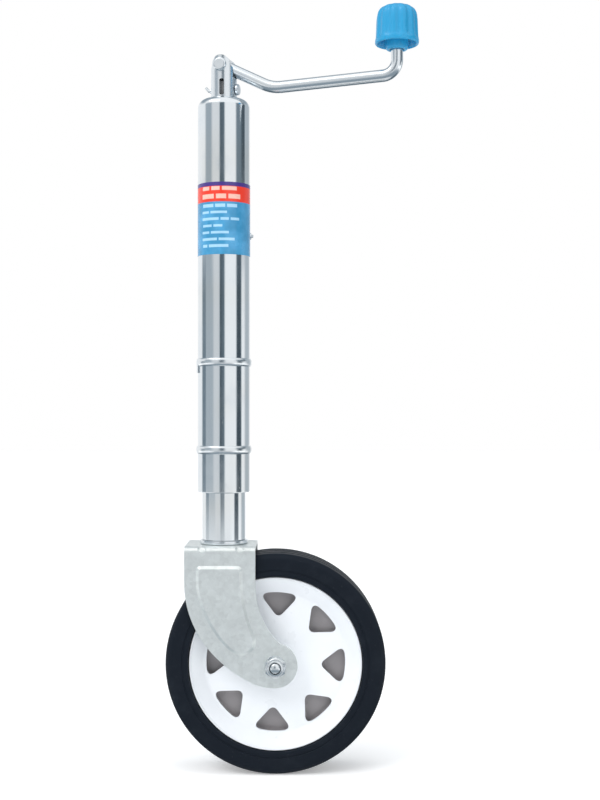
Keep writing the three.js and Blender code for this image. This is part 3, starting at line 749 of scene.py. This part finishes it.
def make_nipple():
    low, high = corners_mm("grease_nipple")
    height = (low.z + high.z) / 2
    turn = math.radians(7.5)
    base = TUBE_R - 0.3
    corners = [(0, 0), (3, 0), (3, 1.4), (1.7, 1.9), (1.3, 2.6), (1.7, 3.0), (0.9, 3.5), (0, 3.5)]
    profile = rounded(corners, 0.3, 2, closed=False)
    at = (base * math.cos(turn), base * math.sin(turn), height)
    nipple = turned("nipple_body", profile, 32, "X", at, turn)
    return zinc_piece(nipple, "housing", "grease_nipple")


def make_guide_rivet():
    low, high = corners_mm("guide_pin")
    seat = TUBE_R + 0.3
    pin, head = 2, 3.6
    profile = [(0, low.y - seat), (pin, low.y - seat), (pin, -0.4), (head, -0.4),
               *arc((0, 0), head, 0, 90, 9, high.y - seat)]
    at = (0, seat, (low.z + high.z) / 2)
    rivet = turned("guide_rivet", profile, 40, "Y", at)
    return finish_piece(rivet, "housing", "zinc_small", ["guide_pin"])


# ---------- spindle ----------
def make_clevis():
    sizes = bpy.context.scene.jack_sizes
    low, high = corners_mm("clevis")
    radius, ear, floor, socket_top = 12, 9, 300.8, 299.5
    body = turned("clevis_body", [(0, low.z), (radius, low.z), (radius, high.z), (0, high.z)], 96)
    shoulder = PIVOT_Z - 6
    side = [(-radius - 1, low.z - 1), (radius + 1, low.z - 1), (radius + 1, shoulder),
            *arc((0, PIVOT_Z), ear, 0, 180, 32), (-radius - 1, shoulder)]
    carve(body, plate("ears", [side], radius + 1), operation="INTERSECT")
    window = block((-0.5, 3.7), (-20, 0), (284.6, socket_top))
    soften(window, 1.6, 4)
    carve(body,
          drill(8.3, low.z - 2, socket_top),
          block((-20, 20), (-6, 6), (floor, high.z + 20)),
          window,
          drill(4.3, -20, 20, "Y", (0, 0, PIVOT_Z)),
          drill(2.7, -20, 20, "X", (0, 0, CROSS_PIN_Z)))
    clean(body, 0.002)
    soften(body, sizes.edge_mm, 3)
    turn_about_z(body, CRANK_TURN)
    return zinc_piece(body, "spindle", "clevis")


def make_pivot_rivet():
    seat = 12.1
    tail = [(0, seat + 2), *arc((4.2, seat + 1.1), 0.9, 90, 0, 5), (5, seat), (4, seat)]
    head = [(6.2, -seat), *arc((4.4, -seat - 0.8), 1.8, 0, -90, 6),
            (2.6, -seat - 2.6), (0, -seat - 2.45)]
    profile = [*tail, (4, -seat), *head]
    rivet = turned("pivot_rivet", profile, 48, "Y", (0, 0, PIVOT_Z), CRANK_TURN)
    return zinc_piece(rivet, "spindle", "pivot_pin")


def make_cross_pin():
    seat, radius, head = 12.2, 2.4, 5.1
    profile = [(0, -seat - 1), (radius - 0.4, -seat - 1), (radius, -seat - 0.6), (radius, seat),
               (head, seat), *arc((head - 1.2, seat + 1.4), 1.2, 0, 90, 5), (0, seat + 2.6)]
    pin = turned("cross_pin_body", profile, 40, "X", (0, 0, CROSS_PIN_Z), CRANK_TURN)
    points = [(-seat + 1.5, CROSS_PIN_Z), (-seat - 2.2, CROSS_PIN_Z), (-seat - 5.6, CROSS_PIN_Z + 3.6)]
    tail = bent_rod("tail", 1.3, points, [2.0], 16, 0.3)
    carve(pin, turn_about_z(tail, CRANK_TURN), operation="UNION")
    return zinc_piece(pin, "spindle", "cross_pin")


# ---------- crank ----------
def make_crank():
    sizes = bpy.context.scene.jack_sizes
    radius, ear, reach = 5.5, 8.4, 161.9
    points = [(0, PIVOT_Z + 1), (46.2, 290.5), (reach, 295.2), (reach, 344)]
    rod = bent_rod("crank_bar", radius, points, [34, 13], 40)
    eye_profile = ring_profile(4.3, ear, -radius - 0.1, radius + 0.1, 1.0)
    eye = turned("eye", eye_profile, 64, "Y", (0, 0, PIVOT_Z))
    carve(rod, drill(4.6, -20, 20, "Y", (0, 0, PIVOT_Z)))
    carve(rod, eye, operation="UNION")
    clip_low, clip_high = 338.6, 340.6
    groove = [(radius - 1, clip_low), (radius + 2, clip_low), (radius + 2, clip_high),
              (radius - 1, clip_high), (radius - 1, clip_low)]
    carve(rod, turned("groove", groove, 48, at=(reach, 0, 0)))
    clean(rod, 0.002)
    turn_about_z(rod, CRANK_TURN)
    return finish_piece(rod, "crank", "zinc_rod", ["crank_rod"])


def make_knob():
    sizes = bpy.context.scene.jack_sizes
    flutes, per_flute = 12, 8
    low, high = corners_mm("knob")
    skirt, r, bore_top = 321.5, (high.x - low.x) / 2, 344.8
    outside = [(r - 1.1, skirt), (r - 0.3, skirt + 0.5), (r, skirt + 1.6), (r, skirt + 4.6),
               (r - 0.5, skirt + 5.4), (r - 0.8, skirt + 14), (r - 1.1, high.z - 12),
               (r - 1.9, high.z - 7.4), (r - 3.8, high.z - 4.2), (r - 7, high.z - 1.9),
               (r - 12, high.z - 0.6), (0, high.z)]
    collar = [(5.8, low.z + 0.4), (6.2, low.z), (9.2, low.z), (9.8, low.z + 0.6),
              (9.8, skirt + 8), (12, skirt + 9), (r - 3.6, skirt + 8), (r - 2.8, skirt + 0.8)]
    bore = [(0, bore_top), (5.8, bore_top), (5.8, low.z + 0.4)]
    grip = turned("grip_body", [*bore, *collar, *outside], flutes * per_flute)

    def in_flute(vertex, phase):
        """Whether a point is on the grip's outside, phase facets on from a flute's middle."""
        step = round(degrees_round(vertex.co) * flutes * per_flute / 360) % per_flute
        on_grip = skirt + 5.0 < vertex.co.z / MM < high.z - 1 and vertex.co.xy.length / MM > 10
        return step == phase and on_grip

    for phase, share in ((0, 1.0), (1, 0.72), (7, 0.72), (2, 0.28), (6, 0.28)):
        select_where(grip, "VERT", lambda vertex: in_flute(vertex, phase))
        shrink = 1 - share * sizes.flute_mm / r
        bpy.ops.transform.resize(value=(shrink, shrink, 1), center_override=(0, 0, 0))
        leave()
    modify(grip, "SUBSURF", levels=1, render_levels=1)
    centre = (low + high) / 2
    grip.location = (centre.x * MM, centre.y * MM, 0)
    settle(grip)
    return finish_piece(grip, "grip", "knob_plastic", ["knob"], 50)


# ---------- leg ----------
def make_leg():
    sizes = bpy.context.scene.jack_sizes
    profile = ring_profile(LEG_R - 2.5, LEG_R, LEG_LOW.z, LEG_HIGH.z, 0.5)
    tube = turned("leg_tube", profile, sizes.tube_segments)
    key_half, key_ends = 2.3, (-106, 132)
    keyway = block((-key_half, key_half), (LEG_R - 4, LEG_R + 4), key_ends)
    soften(keyway, 2.2, 6, 60)
    carve(tube, keyway)
    return finish_piece(tube, "leg", "zinc_tube", ["inner_tube"])


def make_kingpin():
    low, high = corners_mm("kingpin")
    seat, shank, head = PLATE_TOP - SHEET - 2.6, 7, 10.5
    profile = [(0, seat - 5), (5.6, seat - 4.9), (8.2, seat - 4.1), (9.9, seat - 2.4),
               (head, seat - 1), (head, seat), (shank, seat), (shank, high.z - 1),
               (shank - 1, high.z), (0, high.z)]
    pin = turned("kingpin_body", profile, 64)
    return finish_piece(pin, "leg", "zinc_small", ["kingpin"])


# ---------- fork ----------
def cheek_outline():
    """The outline of a cheek: it sweeps down from the plate to a round boss at the axle."""
    axle_x, bottom, boss = AXLE.x, AXLE.z - 20, 20
    left, right, start = -34, 30, PLATE_TOP + 1
    outline = [(left, start), (left, -158)]
    outline += bezier((left, -158), (left, -200), (-8, -232), (axle_x - 20, bottom + 4), 28)
    outline += bezier((axle_x - 20, bottom + 4), (axle_x - 14, bottom + 1.3), (axle_x - 7.3, bottom),
                      (axle_x, bottom), 8)
    boss_arc = arc((axle_x, AXLE.z), boss, -90, 75.6, 40)
    outline += boss_arc[1:]
    outline += bezier(boss_arc[-1], (42, -206), (right, -186), (right, -160), 28)
    outline.append((right, start))
    return outline


def panel_outline(g):
    """The outline of the raised panel, g mm outside its top edge."""
    outline = [(-19, -145 + g), (13, -145 + g)]
    outline += bezier((13, -145 + g), (15.7 + g, -145 + g), (17 + g, -146.3), (17 + g, -149), 6)
    outline += bezier((17 + g, -149), (17 + g, -176), (22 + g, -192), (28.5 + g, -208), 20)
    outline += bezier((28.5 + g, -208), (30.9 + g, -216), (27.3, -221.2 - g), (18, -223 - g), 14)
    outline += bezier((18, -223 - g), (4 - g, -222 - g), (-20 - g, -188), (-22 - g, -160), 24)
    outline.append((-22 - g, -149))
    outline += bezier((-22 - g, -149), (-22 - g, -146.3), (-21 - g, -145 + g), (-19, -145 + g), 6)[:-1]
    return outline


def raised_panels(inner):
    """A raised panel for each cheek, its edge sloping down to the sheet."""
    sunk, slope, raised = 0.2, 2.9, 2.2
    panels = plate("panels", [panel_outline(1.7)], FORK_HALF - sunk)
    select_where(panels, "FACE", lambda face: abs(face.normal.y) > 0.9)
    bpy.ops.mesh.inset(thickness=slope * MM, depth=(raised + sunk) * MM, use_boundary=True)
    bpy.ops.mesh.select_mode(type="VERT")
    leave()
    carve(panels, block((-100, 100), (-inner - 0.5, inner + 0.5), (-300, 0)))
    return panels


def make_fork():
    sizes = bpy.context.scene.jack_sizes
    inner, bend = FORK_HALF - SHEET, 5
    corner = FORK_HALF - bend
    bottom = AXLE.z - 30
    section = [(-FORK_HALF, bottom), (-inner, bottom),
               *arc((-corner, PLATE_TOP - bend), bend - SHEET, 180, 90, 6),
               *arc((corner, PLATE_TOP - bend), bend - SHEET, 90, 0, 6),
               (inner, bottom), (FORK_HALF, bottom),
               *arc((corner, PLATE_TOP - bend), bend, 0, 90, 12),
               *arc((-corner, PLATE_TOP - bend), bend, 90, 180, 12)]
    channel = turn_about_z(plate("fork_shell", [section], 80), math.pi / 2)
    carve(channel, plate("cheeks", [cheek_outline()], FORK_HALF + 5), operation="INTERSECT")
    carve(channel, raised_panels(inner), operation="UNION")
    carve(channel, drill(7.4, PLATE_TOP - 20, PLATE_TOP + 5), drill(5.3, -50, 50, "Y", AT_AXLE))
    clean(channel, 0.005)
    soften(channel, sizes.edge_mm, 2, 25)
    dimple = [(0, -7), (2.6, -6.6), (4.2, -5), (4.2, 5), (2.6, 6.6), (0, 7)]
    for x in (-18, 16):
        for side in (-1, 1):
            punch = turned("dimple", dimple, 32)
            punch.rotation_euler = (-side * math.radians(45), 0, 0)
            punch.location = (x * MM, side * (FORK_HALF + 1.6) * MM, (PLATE_TOP + 1.6) * MM)
            carve(channel, settle(punch))
    clean(channel, 0.002)
    return finish_piece(channel, "carrier", "galvanised_sheet", ["fork"], 24)


def hex_body(name, low, high, chamfer=1.2):
    """A hexagon along the axle, its corners turned down at both ends."""
    r = SPANNER / math.sqrt(3)
    piece = plate(name, [arc((0, 0), r, 30, 330, 5)], (high - low) / 2)
    piece.location = (0, (low + high) / 2 * MM, 0)
    settle(piece)
    barrel = [(0, low), (r - chamfer * 1.4, low), (r + 0.1, low + chamfer), (r + 0.1, high - chamfer),
              (r - chamfer * 1.4, high), (0, high)]
    carve(piece, turned("barrel", barrel, 64, "Y"), operation="INTERSECT")
    piece.location = (AXLE.x * MM, 0, AXLE.z * MM)
    return settle(piece)


def make_axle():
    seat, shank, bolt_end = BOLT_SEAT, 5, -43.6
    head = hex_body("bolt_head", seat, seat + 6.4)
    profile = [(0, bolt_end), (1.6, bolt_end + 0.1), (3.2, bolt_end + 0.5), (4.4, bolt_end + 1.2),
               (shank, bolt_end + 2.2), (shank, seat + 1), (0, seat + 1)]
    carve(head, turned("shank", profile, 48, "Y", AT_AXLE), operation="UNION")
    soften(head, 0.25, 2)
    zinc_piece(head, "carrier", "axle_bolt")
    nut = hex_body("lock_nut", -seat - 7.6, -seat)
    collar = [(0, -seat - 9.6), (5.9, -seat - 9.6), (6.7, -seat - 9.2), (7, -seat - 8.5),
              (7, -seat - 7), (0, -seat - 7)]
    carve(nut, turned("collar", collar, 48, "Y", AT_AXLE), operation="UNION")
    carve(nut, drill(5.3, -seat - 20, -seat + 5, "Y", AT_AXLE))
    soften(nut, 0.3, 2)
    zinc_piece(nut, "carrier", "axle_nut")
    for name, node in (("washer_front", "axle_washer_front"), ("washer_rear", "axle_washer_rear")):
        washer(name, node, "carrier", (5.4, 9.6), 0.35, along="Y")


# ---------- wheel ----------
def make_tyre():
    sizes = bpy.context.scene.jack_sizes
    half, depth, foot, shoulder = TYRE_HALF, sizes.groove_mm, 79.1, 6.4
    groove = []
    for middle in (-11, 0, 11):
        groove += [(WHEEL_R, middle - 1.6), (WHEEL_R - depth * 0.85, middle - 1.1),
                   (WHEEL_R - depth, middle - 0.6), (WHEEL_R - depth, middle + 0.6),
                   (WHEEL_R - depth * 0.85, middle + 1.1), (WHEEL_R, middle + 1.6)]
    front = [(foot - 0.2, -half + 1.6), (foot + 0.4, -half + 0.4), (foot + 1.4, -half),
             (83.4, -half), (83.9, -half + 0.5), (84.9, -half + 0.5), (85.4, -half),
             (91.2, -half + 0.1),
             *arc((WHEEL_R - shoulder, -half + shoulder), shoulder, -78, -12, 8),
             (WHEEL_R - 0.02, -half + 8.4)]
    rear = [(r, -y) for r, y in reversed(front)]
    inner = [(foot, 20.4), (69.5, 8.6), (69.5, -8.6), (foot, -20.4), front[0]]
    profile = [*front, *groove, *rear, *inner]
    tyre = turned("tyre_ring", profile, sizes.wheel_segments, "Y", AT_AXLE)
    return finish_piece(tyre, "wheel", "solid_rubber", ["tyre"], 40)


def hole_outline():
    """A triangle with round corners, its apex towards the hub."""
    side = bezier((10.5, 62.6), (15.0, 61.5), (16.0, 59.2), (13.6, 55.6), 8)
    apex = bezier((3.6, 43.8), (1.2, 41.5), (-1.2, 41.5), (-3.6, 43.8), 8)
    top = bezier((-10.5, 62.6), (-3.5, 63.7), (3.5, 63.7), (10.5, 62.6), 8)
    left = [(-x, z) for x, z in reversed([(10.5, 62.6), *side])]
    return [*top, *side, (3.6, 43.8), *apex, *left[:-1], (-10.5, 62.6)]


def make_rims():
    sizes = bpy.context.scene.jack_sizes
    web, sheet = -11, 2
    profile = [
        (15.3, web), (62.6, web), (64.4, web - 0.35), (66.2, web - 1.5), (76.0, -20.0),
        (76.7, -21.6), (77.3, -22.3), (78.1, -22.3), (78.5, -21.6), (78.3, -20.6), (67.6, web + 1.0),
        (65.8, web + 1.7), (64.2, web + sheet), (15.3, web + sheet), (15.3, web),
    ]
    front = turned("rim_disc_front", profile, sizes.wheel_segments, "Y")
    punch = plate("punch", [hole_outline()], 8)
    punch.location = (0, web * MM, 0)
    settle(punch)
    for i in range(8):
        tool = copy_of(punch, "punch_copy")
        tool.rotation_euler = (0, WHEEL_TURN + i * math.pi / 4, 0)
        carve(front, settle(tool))
    bpy.data.objects.remove(punch)
    clean(front, 0.002)
    soften(front, 0.7, 3, 50)
    rear = copy_of(front, "rim_disc_rear")
    edit(rear)
    bpy.ops.transform.resize(value=(1, -1, 1), center_override=(0, 0, 0))
    bpy.ops.mesh.normals_make_consistent(inside=False)
    leave()
    for disc, node in ((front, "rim_front"), (rear, "rim_rear")):
        disc.location = (AXLE.x * MM, 0, AXLE.z * MM)
        settle(disc)
        finish_piece(disc, "wheel", "wheel_paint", [node], 40)


def make_rim_core():
    band, sheet, half_web, half_band, hub = 66.4, 2, 1, 8.1, 15.3
    profile = rounded([(hub, -half_web), (band - sheet, -half_web), (band - sheet, -half_band),
                       (band, -half_band), (band, half_band), (band - sheet, half_band),
                       (band - sheet, half_web), (hub, half_web)], 0.8)
    # The web is finished in painted shade, a grey that stands for the shade behind the holes.
    core = turned("wheel_core", profile, 128, "Y", AT_AXLE)
    return finish_piece(core, "wheel", "core_painted_shade", ["rim_core"])


def make_hub():
    hub = turned("hub_sleeve", ring_profile(11.9, 15, -22.5, 22.5, 0.7), 96, "Y", AT_AXLE)
    finish_piece(hub, "wheel", "wheel_paint", ["hub_tube"])
    corners = [(7.95, -25.6), (14, -25.6), (14, -22.8), (11.6, -22.8), (11.6, -9), (7.95, -9)]
    for name, node, side in (("bush_front", "hub_bush_front", 1), ("bush_rear", "hub_bush_rear", -1)):
        profile = rounded([(r, side * y) for r, y in corners], 0.4)
        bush = turned(name, profile, 64, "Y", AT_AXLE)
        finish_piece(bush, "wheel", "nylon", [node])


# ---------- kept frame nodes ----------
# The lead screw's greased steel is darkened partly as painted shade, seen through the clevis's window.
KEPT = {
    "lead_screw": "greased_steel", "thrust_washer": "bronze", "thrust_plate": "zinc_small",
    "bearing_race": "greased_steel", "guide_bush": "nylon", "lead_nut": "bronze",
    "end_plug": "zinc_small", "kingpin_nut": "zinc_small", "knob_clip": "greased_steel",
    "axle_sleeve": "greased_steel",
}


def paint_kept_nodes():
    for name, finish in KEPT.items():
        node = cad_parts[name]
        for material_slot in node.material_slots:
            material_slot.material = FINISHES[finish]


# ---------- stage ----------
def make_world():
    """A studio for the zinc to mirror: dark and dim strips on white, at set angles and heights.

    angle goes round Z from the front, and rise up from the horizon, both in degrees."""
    world = bpy.data.worlds.new("studio")
    bpy.context.scene.world = world
    world.use_nodes = True
    r = Recipe(world.node_tree)
    direction = r.node("ShaderNodeTexCoord", output="Generated")
    x, y, z = r.axes(direction)
    angle = x.math("ARCTAN2", x, 0 - y) * math.degrees(1)
    rise = z.math("ARCSINE", z) * math.degrees(1)

    def strip(strength, first, last, soft):
        return strength * angle.band(first, last, soft)

    # What the upper tube mirrors is high, the outer tube's foot is foot, and the fork is deep.
    high = rise.smooth(5, 10)
    foot = 1 - rise.smooth(-6, -4)
    deep = 1 - rise.smooth(-8.5, -6.5)
    slit = strip(0.80, -15, 6, 4) * rise.smooth(-7, -4.5)
    right_high = strip(0.70, 58, 108, 5) + strip(0.16, 58, 108, 5) * angle.smooth(80, 92)
    right = high * right_high + (1 - high) * (1 - deep) * strip(0.88, 60, 86, 4)
    right = right + strip(0.42, 108, 150, 8)
    left_high = strip(0.18, -52, -12, 5) + strip(0.50, -86, -52, 5)
    left_low = strip(0.26, -44, -12, 6) + strip(0.46, -84, -44, 6) + strip(0.70, -108, -84, 4)
    left = high * left_high + (1 - high) * left_low * (1 - 0.55 * foot)
    dusk = strip(0.24, -38, 38, 8) * rise.band(-28, -7.5, 1.5)
    sides = deep * (strip(0.5, -128, -46, 8) + strip(0.5, 46, 128, 8))
    level = 0.98 - slit - right - left - dusk + sides
    # Above and below the strips, the studio is darker behind, with a lamp high on the left.
    ceiling = rise.smooth(18, 34)
    behind = y.smooth(-0.1, 0.35) * (1 - rise.smooth(68, 80))
    lamp = strip(2.2, -80, -25, 6) * rise.band(42, 58, 4)
    level = ceiling * (1.05 - 0.62 * behind + lamp) + (1 - ceiling) * level
    below = 1 - rise.smooth(-30, -13)
    under = 0.38 - 0.22 * behind + 0.5 * (1 - rise.smooth(-68, -58))
    level = below * under + (1 - below) * level
    tint = r.mix(level.smooth(0.05, 0.9), (0.60, 0.82, 1.0, 1), (0.985, 0.99, 1.0, 1))
    studio = r.node("ShaderNodeBackground", None, {"Color": tint, "Strength": level})
    plain = r.node("ShaderNodeBackground", None, {"Color": (1, 1, 1, 1), "Strength": 1.0})
    seen = r.node("ShaderNodeLightPath", output="Is Camera Ray")
    both = r.node("ShaderNodeMixShader", None, {0: seen, 1: studio, 2: plain})
    r.node("ShaderNodeOutputWorld", None, {"Surface": both})


def make_floor(stage):
    """A wide floor a hair below the tyre."""
    gap = 0.1
    deselect()
    bpy.ops.mesh.primitive_plane_add(size=14, location=(0, 0, (TYRE_LOW.z - gap) * MM))
    floor = settle(bpy.context.object)
    floor.name = "floor"
    edit(floor)
    bpy.ops.mesh.inset(thickness=2.0)
    leave()

    def build(r):
        cloud = r.noise(260, 3, 0.5)
        tint = r.mix(cloud * 0.25, rgba(stage.floor), rgba(stage.floor, 0.98))
        return {"Base Color": tint, "Roughness": 0.6 + 0.1 * cloud, "Specular IOR Level": 0.1,
                "Emission Color": (1, 1, 1, 1), "Emission Strength": stage.floor_glow}

    floor.data.materials.append(material("pale_floor", build))
    floor.visible_glossy = False


def area_light(name, watts, size, at, towards):
    """A square light that shows neither in the view nor in the zinc."""
    light = bpy.data.lights.new(name, "AREA")
    light.energy = watts
    light.size = size
    lamp = bpy.data.objects.new(name, light)
    bpy.context.scene.collection.objects.link(lamp)
    lamp.location = at
    lamp.rotation_euler = (Vector(towards) - Vector(at)).to_track_quat("-Z", "Y").to_euler()
    lamp.visible_camera = False
    lamp.visible_glossy = False


def make_camera(stage):
    camera = bpy.data.cameras.new("camera")
    camera.lens = stage.lens
    camera.sensor_width = 36
    camera.clip_start, camera.clip_end = 0.01, 100
    eye = bpy.data.objects.new("camera", camera)
    bpy.context.scene.collection.objects.link(eye)
    eye.location = (stage.aside, -stage.distance, stage.height)
    eye.rotation_euler = (math.pi / 2, 0, 0)
    bpy.context.scene.camera = eye


# ---------- operators ----------
class JACK_OT_finishes(bpy.types.Operator):
    """Make every finish, and paint the frame nodes that stay in view"""

    bl_idname = "jack.finishes"
    bl_label = "Finishes"

    def execute(self, context):
        FINISHES.update(make_finishes(context.scene.jack_colours))
        paint_kept_nodes()
        return {"FINISHED"}


class JACK_OT_housing(bpy.types.Operator):
    """Model the outer tube, its clamp rings, label, nipple and guide rivet"""

    bl_idname = "jack.housing"
    bl_label = "Housing"

    def execute(self, context):
        make_tube()
        make_clamp_rings()
        make_label()
        make_nipple()
        make_guide_rivet()
        return {"FINISHED"}


class JACK_OT_spindle(bpy.types.Operator):
    """Model the clevis on top of the lead screw, with its pins and washer"""

    bl_idname = "jack.spindle"
    bl_label = "Spindle"

    def execute(self, context):
        make_clevis()
        make_pivot_rivet()
        make_cross_pin()
        washer("washer_top", "dust_washer", "spindle", (8.4, 13), 0.35)
        return {"FINISHED"}


class JACK_OT_crank(bpy.types.Operator):
    """Model the bent crank rod and its knob"""

    bl_idname = "jack.crank"
    bl_label = "Crank"

    def execute(self, context):
        make_crank()
        make_knob()
        return {"FINISHED"}


class JACK_OT_leg(bpy.types.Operator):
    """Model the inner tube and the kingpin at its foot"""

    bl_idname = "jack.leg"
    bl_label = "Leg"

    def execute(self, context):
        make_leg()
        make_kingpin()
        return {"FINISHED"}


class JACK_OT_fork(bpy.types.Operator):
    """Model the pressed fork, the swivel washers and the axle"""

    bl_idname = "jack.fork"
    bl_label = "Fork"

    def execute(self, context):
        make_fork()
        washer("swivel_disc", "swivel_washer", "carrier", (7.4, 22), 0.9, 96)
        washer("under_disc", "under_washer", "carrier", (7.4, 13), 0.9, 96)
        make_axle()
        return {"FINISHED"}


class JACK_OT_wheel(bpy.types.Operator):
    """Model the tyre, the two rim discs, the core and the hub"""

    bl_idname = "jack.wheel"
    bl_label = "Wheel"

    def execute(self, context):
        make_tyre()
        make_rims()
        make_rim_core()
        make_hub()
        return {"FINISHED"}


class JACK_OT_stage(bpy.types.Operator):
    """Set up the pale floor, the studio light and the camera"""

    bl_idname = "jack.stage"
    bl_label = "Stage"

    def execute(self, context):
        stage = context.scene.jack_stage
        make_world()
        make_floor(stage)
        area_light("key", stage.key_watts, 1.2, at=(-1.3, -1.5, 1.5), towards=(0.05, 0, -0.1))
        area_light("top", stage.fill_watts, 1.6, at=(0.3, -0.3, 2.2), towards=(0.05, 0, 0))
        make_camera(stage)
        context.scene.view_settings.view_transform = "Standard"
        return {"FINISHED"}


OPERATORS = (JACK_OT_finishes, JACK_OT_housing, JACK_OT_spindle, JACK_OT_crank,
             JACK_OT_leg, JACK_OT_fork, JACK_OT_wheel, JACK_OT_stage)


class JACK_PT_panel(bpy.types.Panel):
    """Lists the steps that build the jack"""

    bl_idname = "JACK_PT_panel"
    bl_label = "Trailer jack"
    bl_space_type = "VIEW_3D"
    bl_region_type = "UI"
    bl_category = "Trailer jack"

    def draw(self, context):
        for made in OPERATORS:
            self.layout.operator(made.bl_idname)
        for group in (context.scene.jack_sizes, context.scene.jack_colours, context.scene.jack_stage):
            column = self.layout.column()
            for name in group.__annotations__:
                column.prop(group, name)


GROUPS = (("jack_sizes", JackSizes), ("jack_colours", JackColours), ("jack_stage", JackStage))


def register():
    for name, group in GROUPS:
        bpy.utils.register_class(group)
        setattr(bpy.types.Scene, name, PointerProperty(type=group))
    for made in (*OPERATORS, JACK_PT_panel):
        bpy.utils.register_class(made)


def unregister():
    for made in reversed((*OPERATORS, JACK_PT_panel)):
        bpy.utils.unregister_class(made)
    for name, group in reversed(GROUPS):
        delattr(bpy.types.Scene, name)
        bpy.utils.unregister_class(group)


def main():
    register()
    for made in OPERATORS:
        group, _, action = made.bl_idname.partition(".")
        getattr(getattr(bpy.ops, group), action)()


if __name__ == "__main__":
    main()
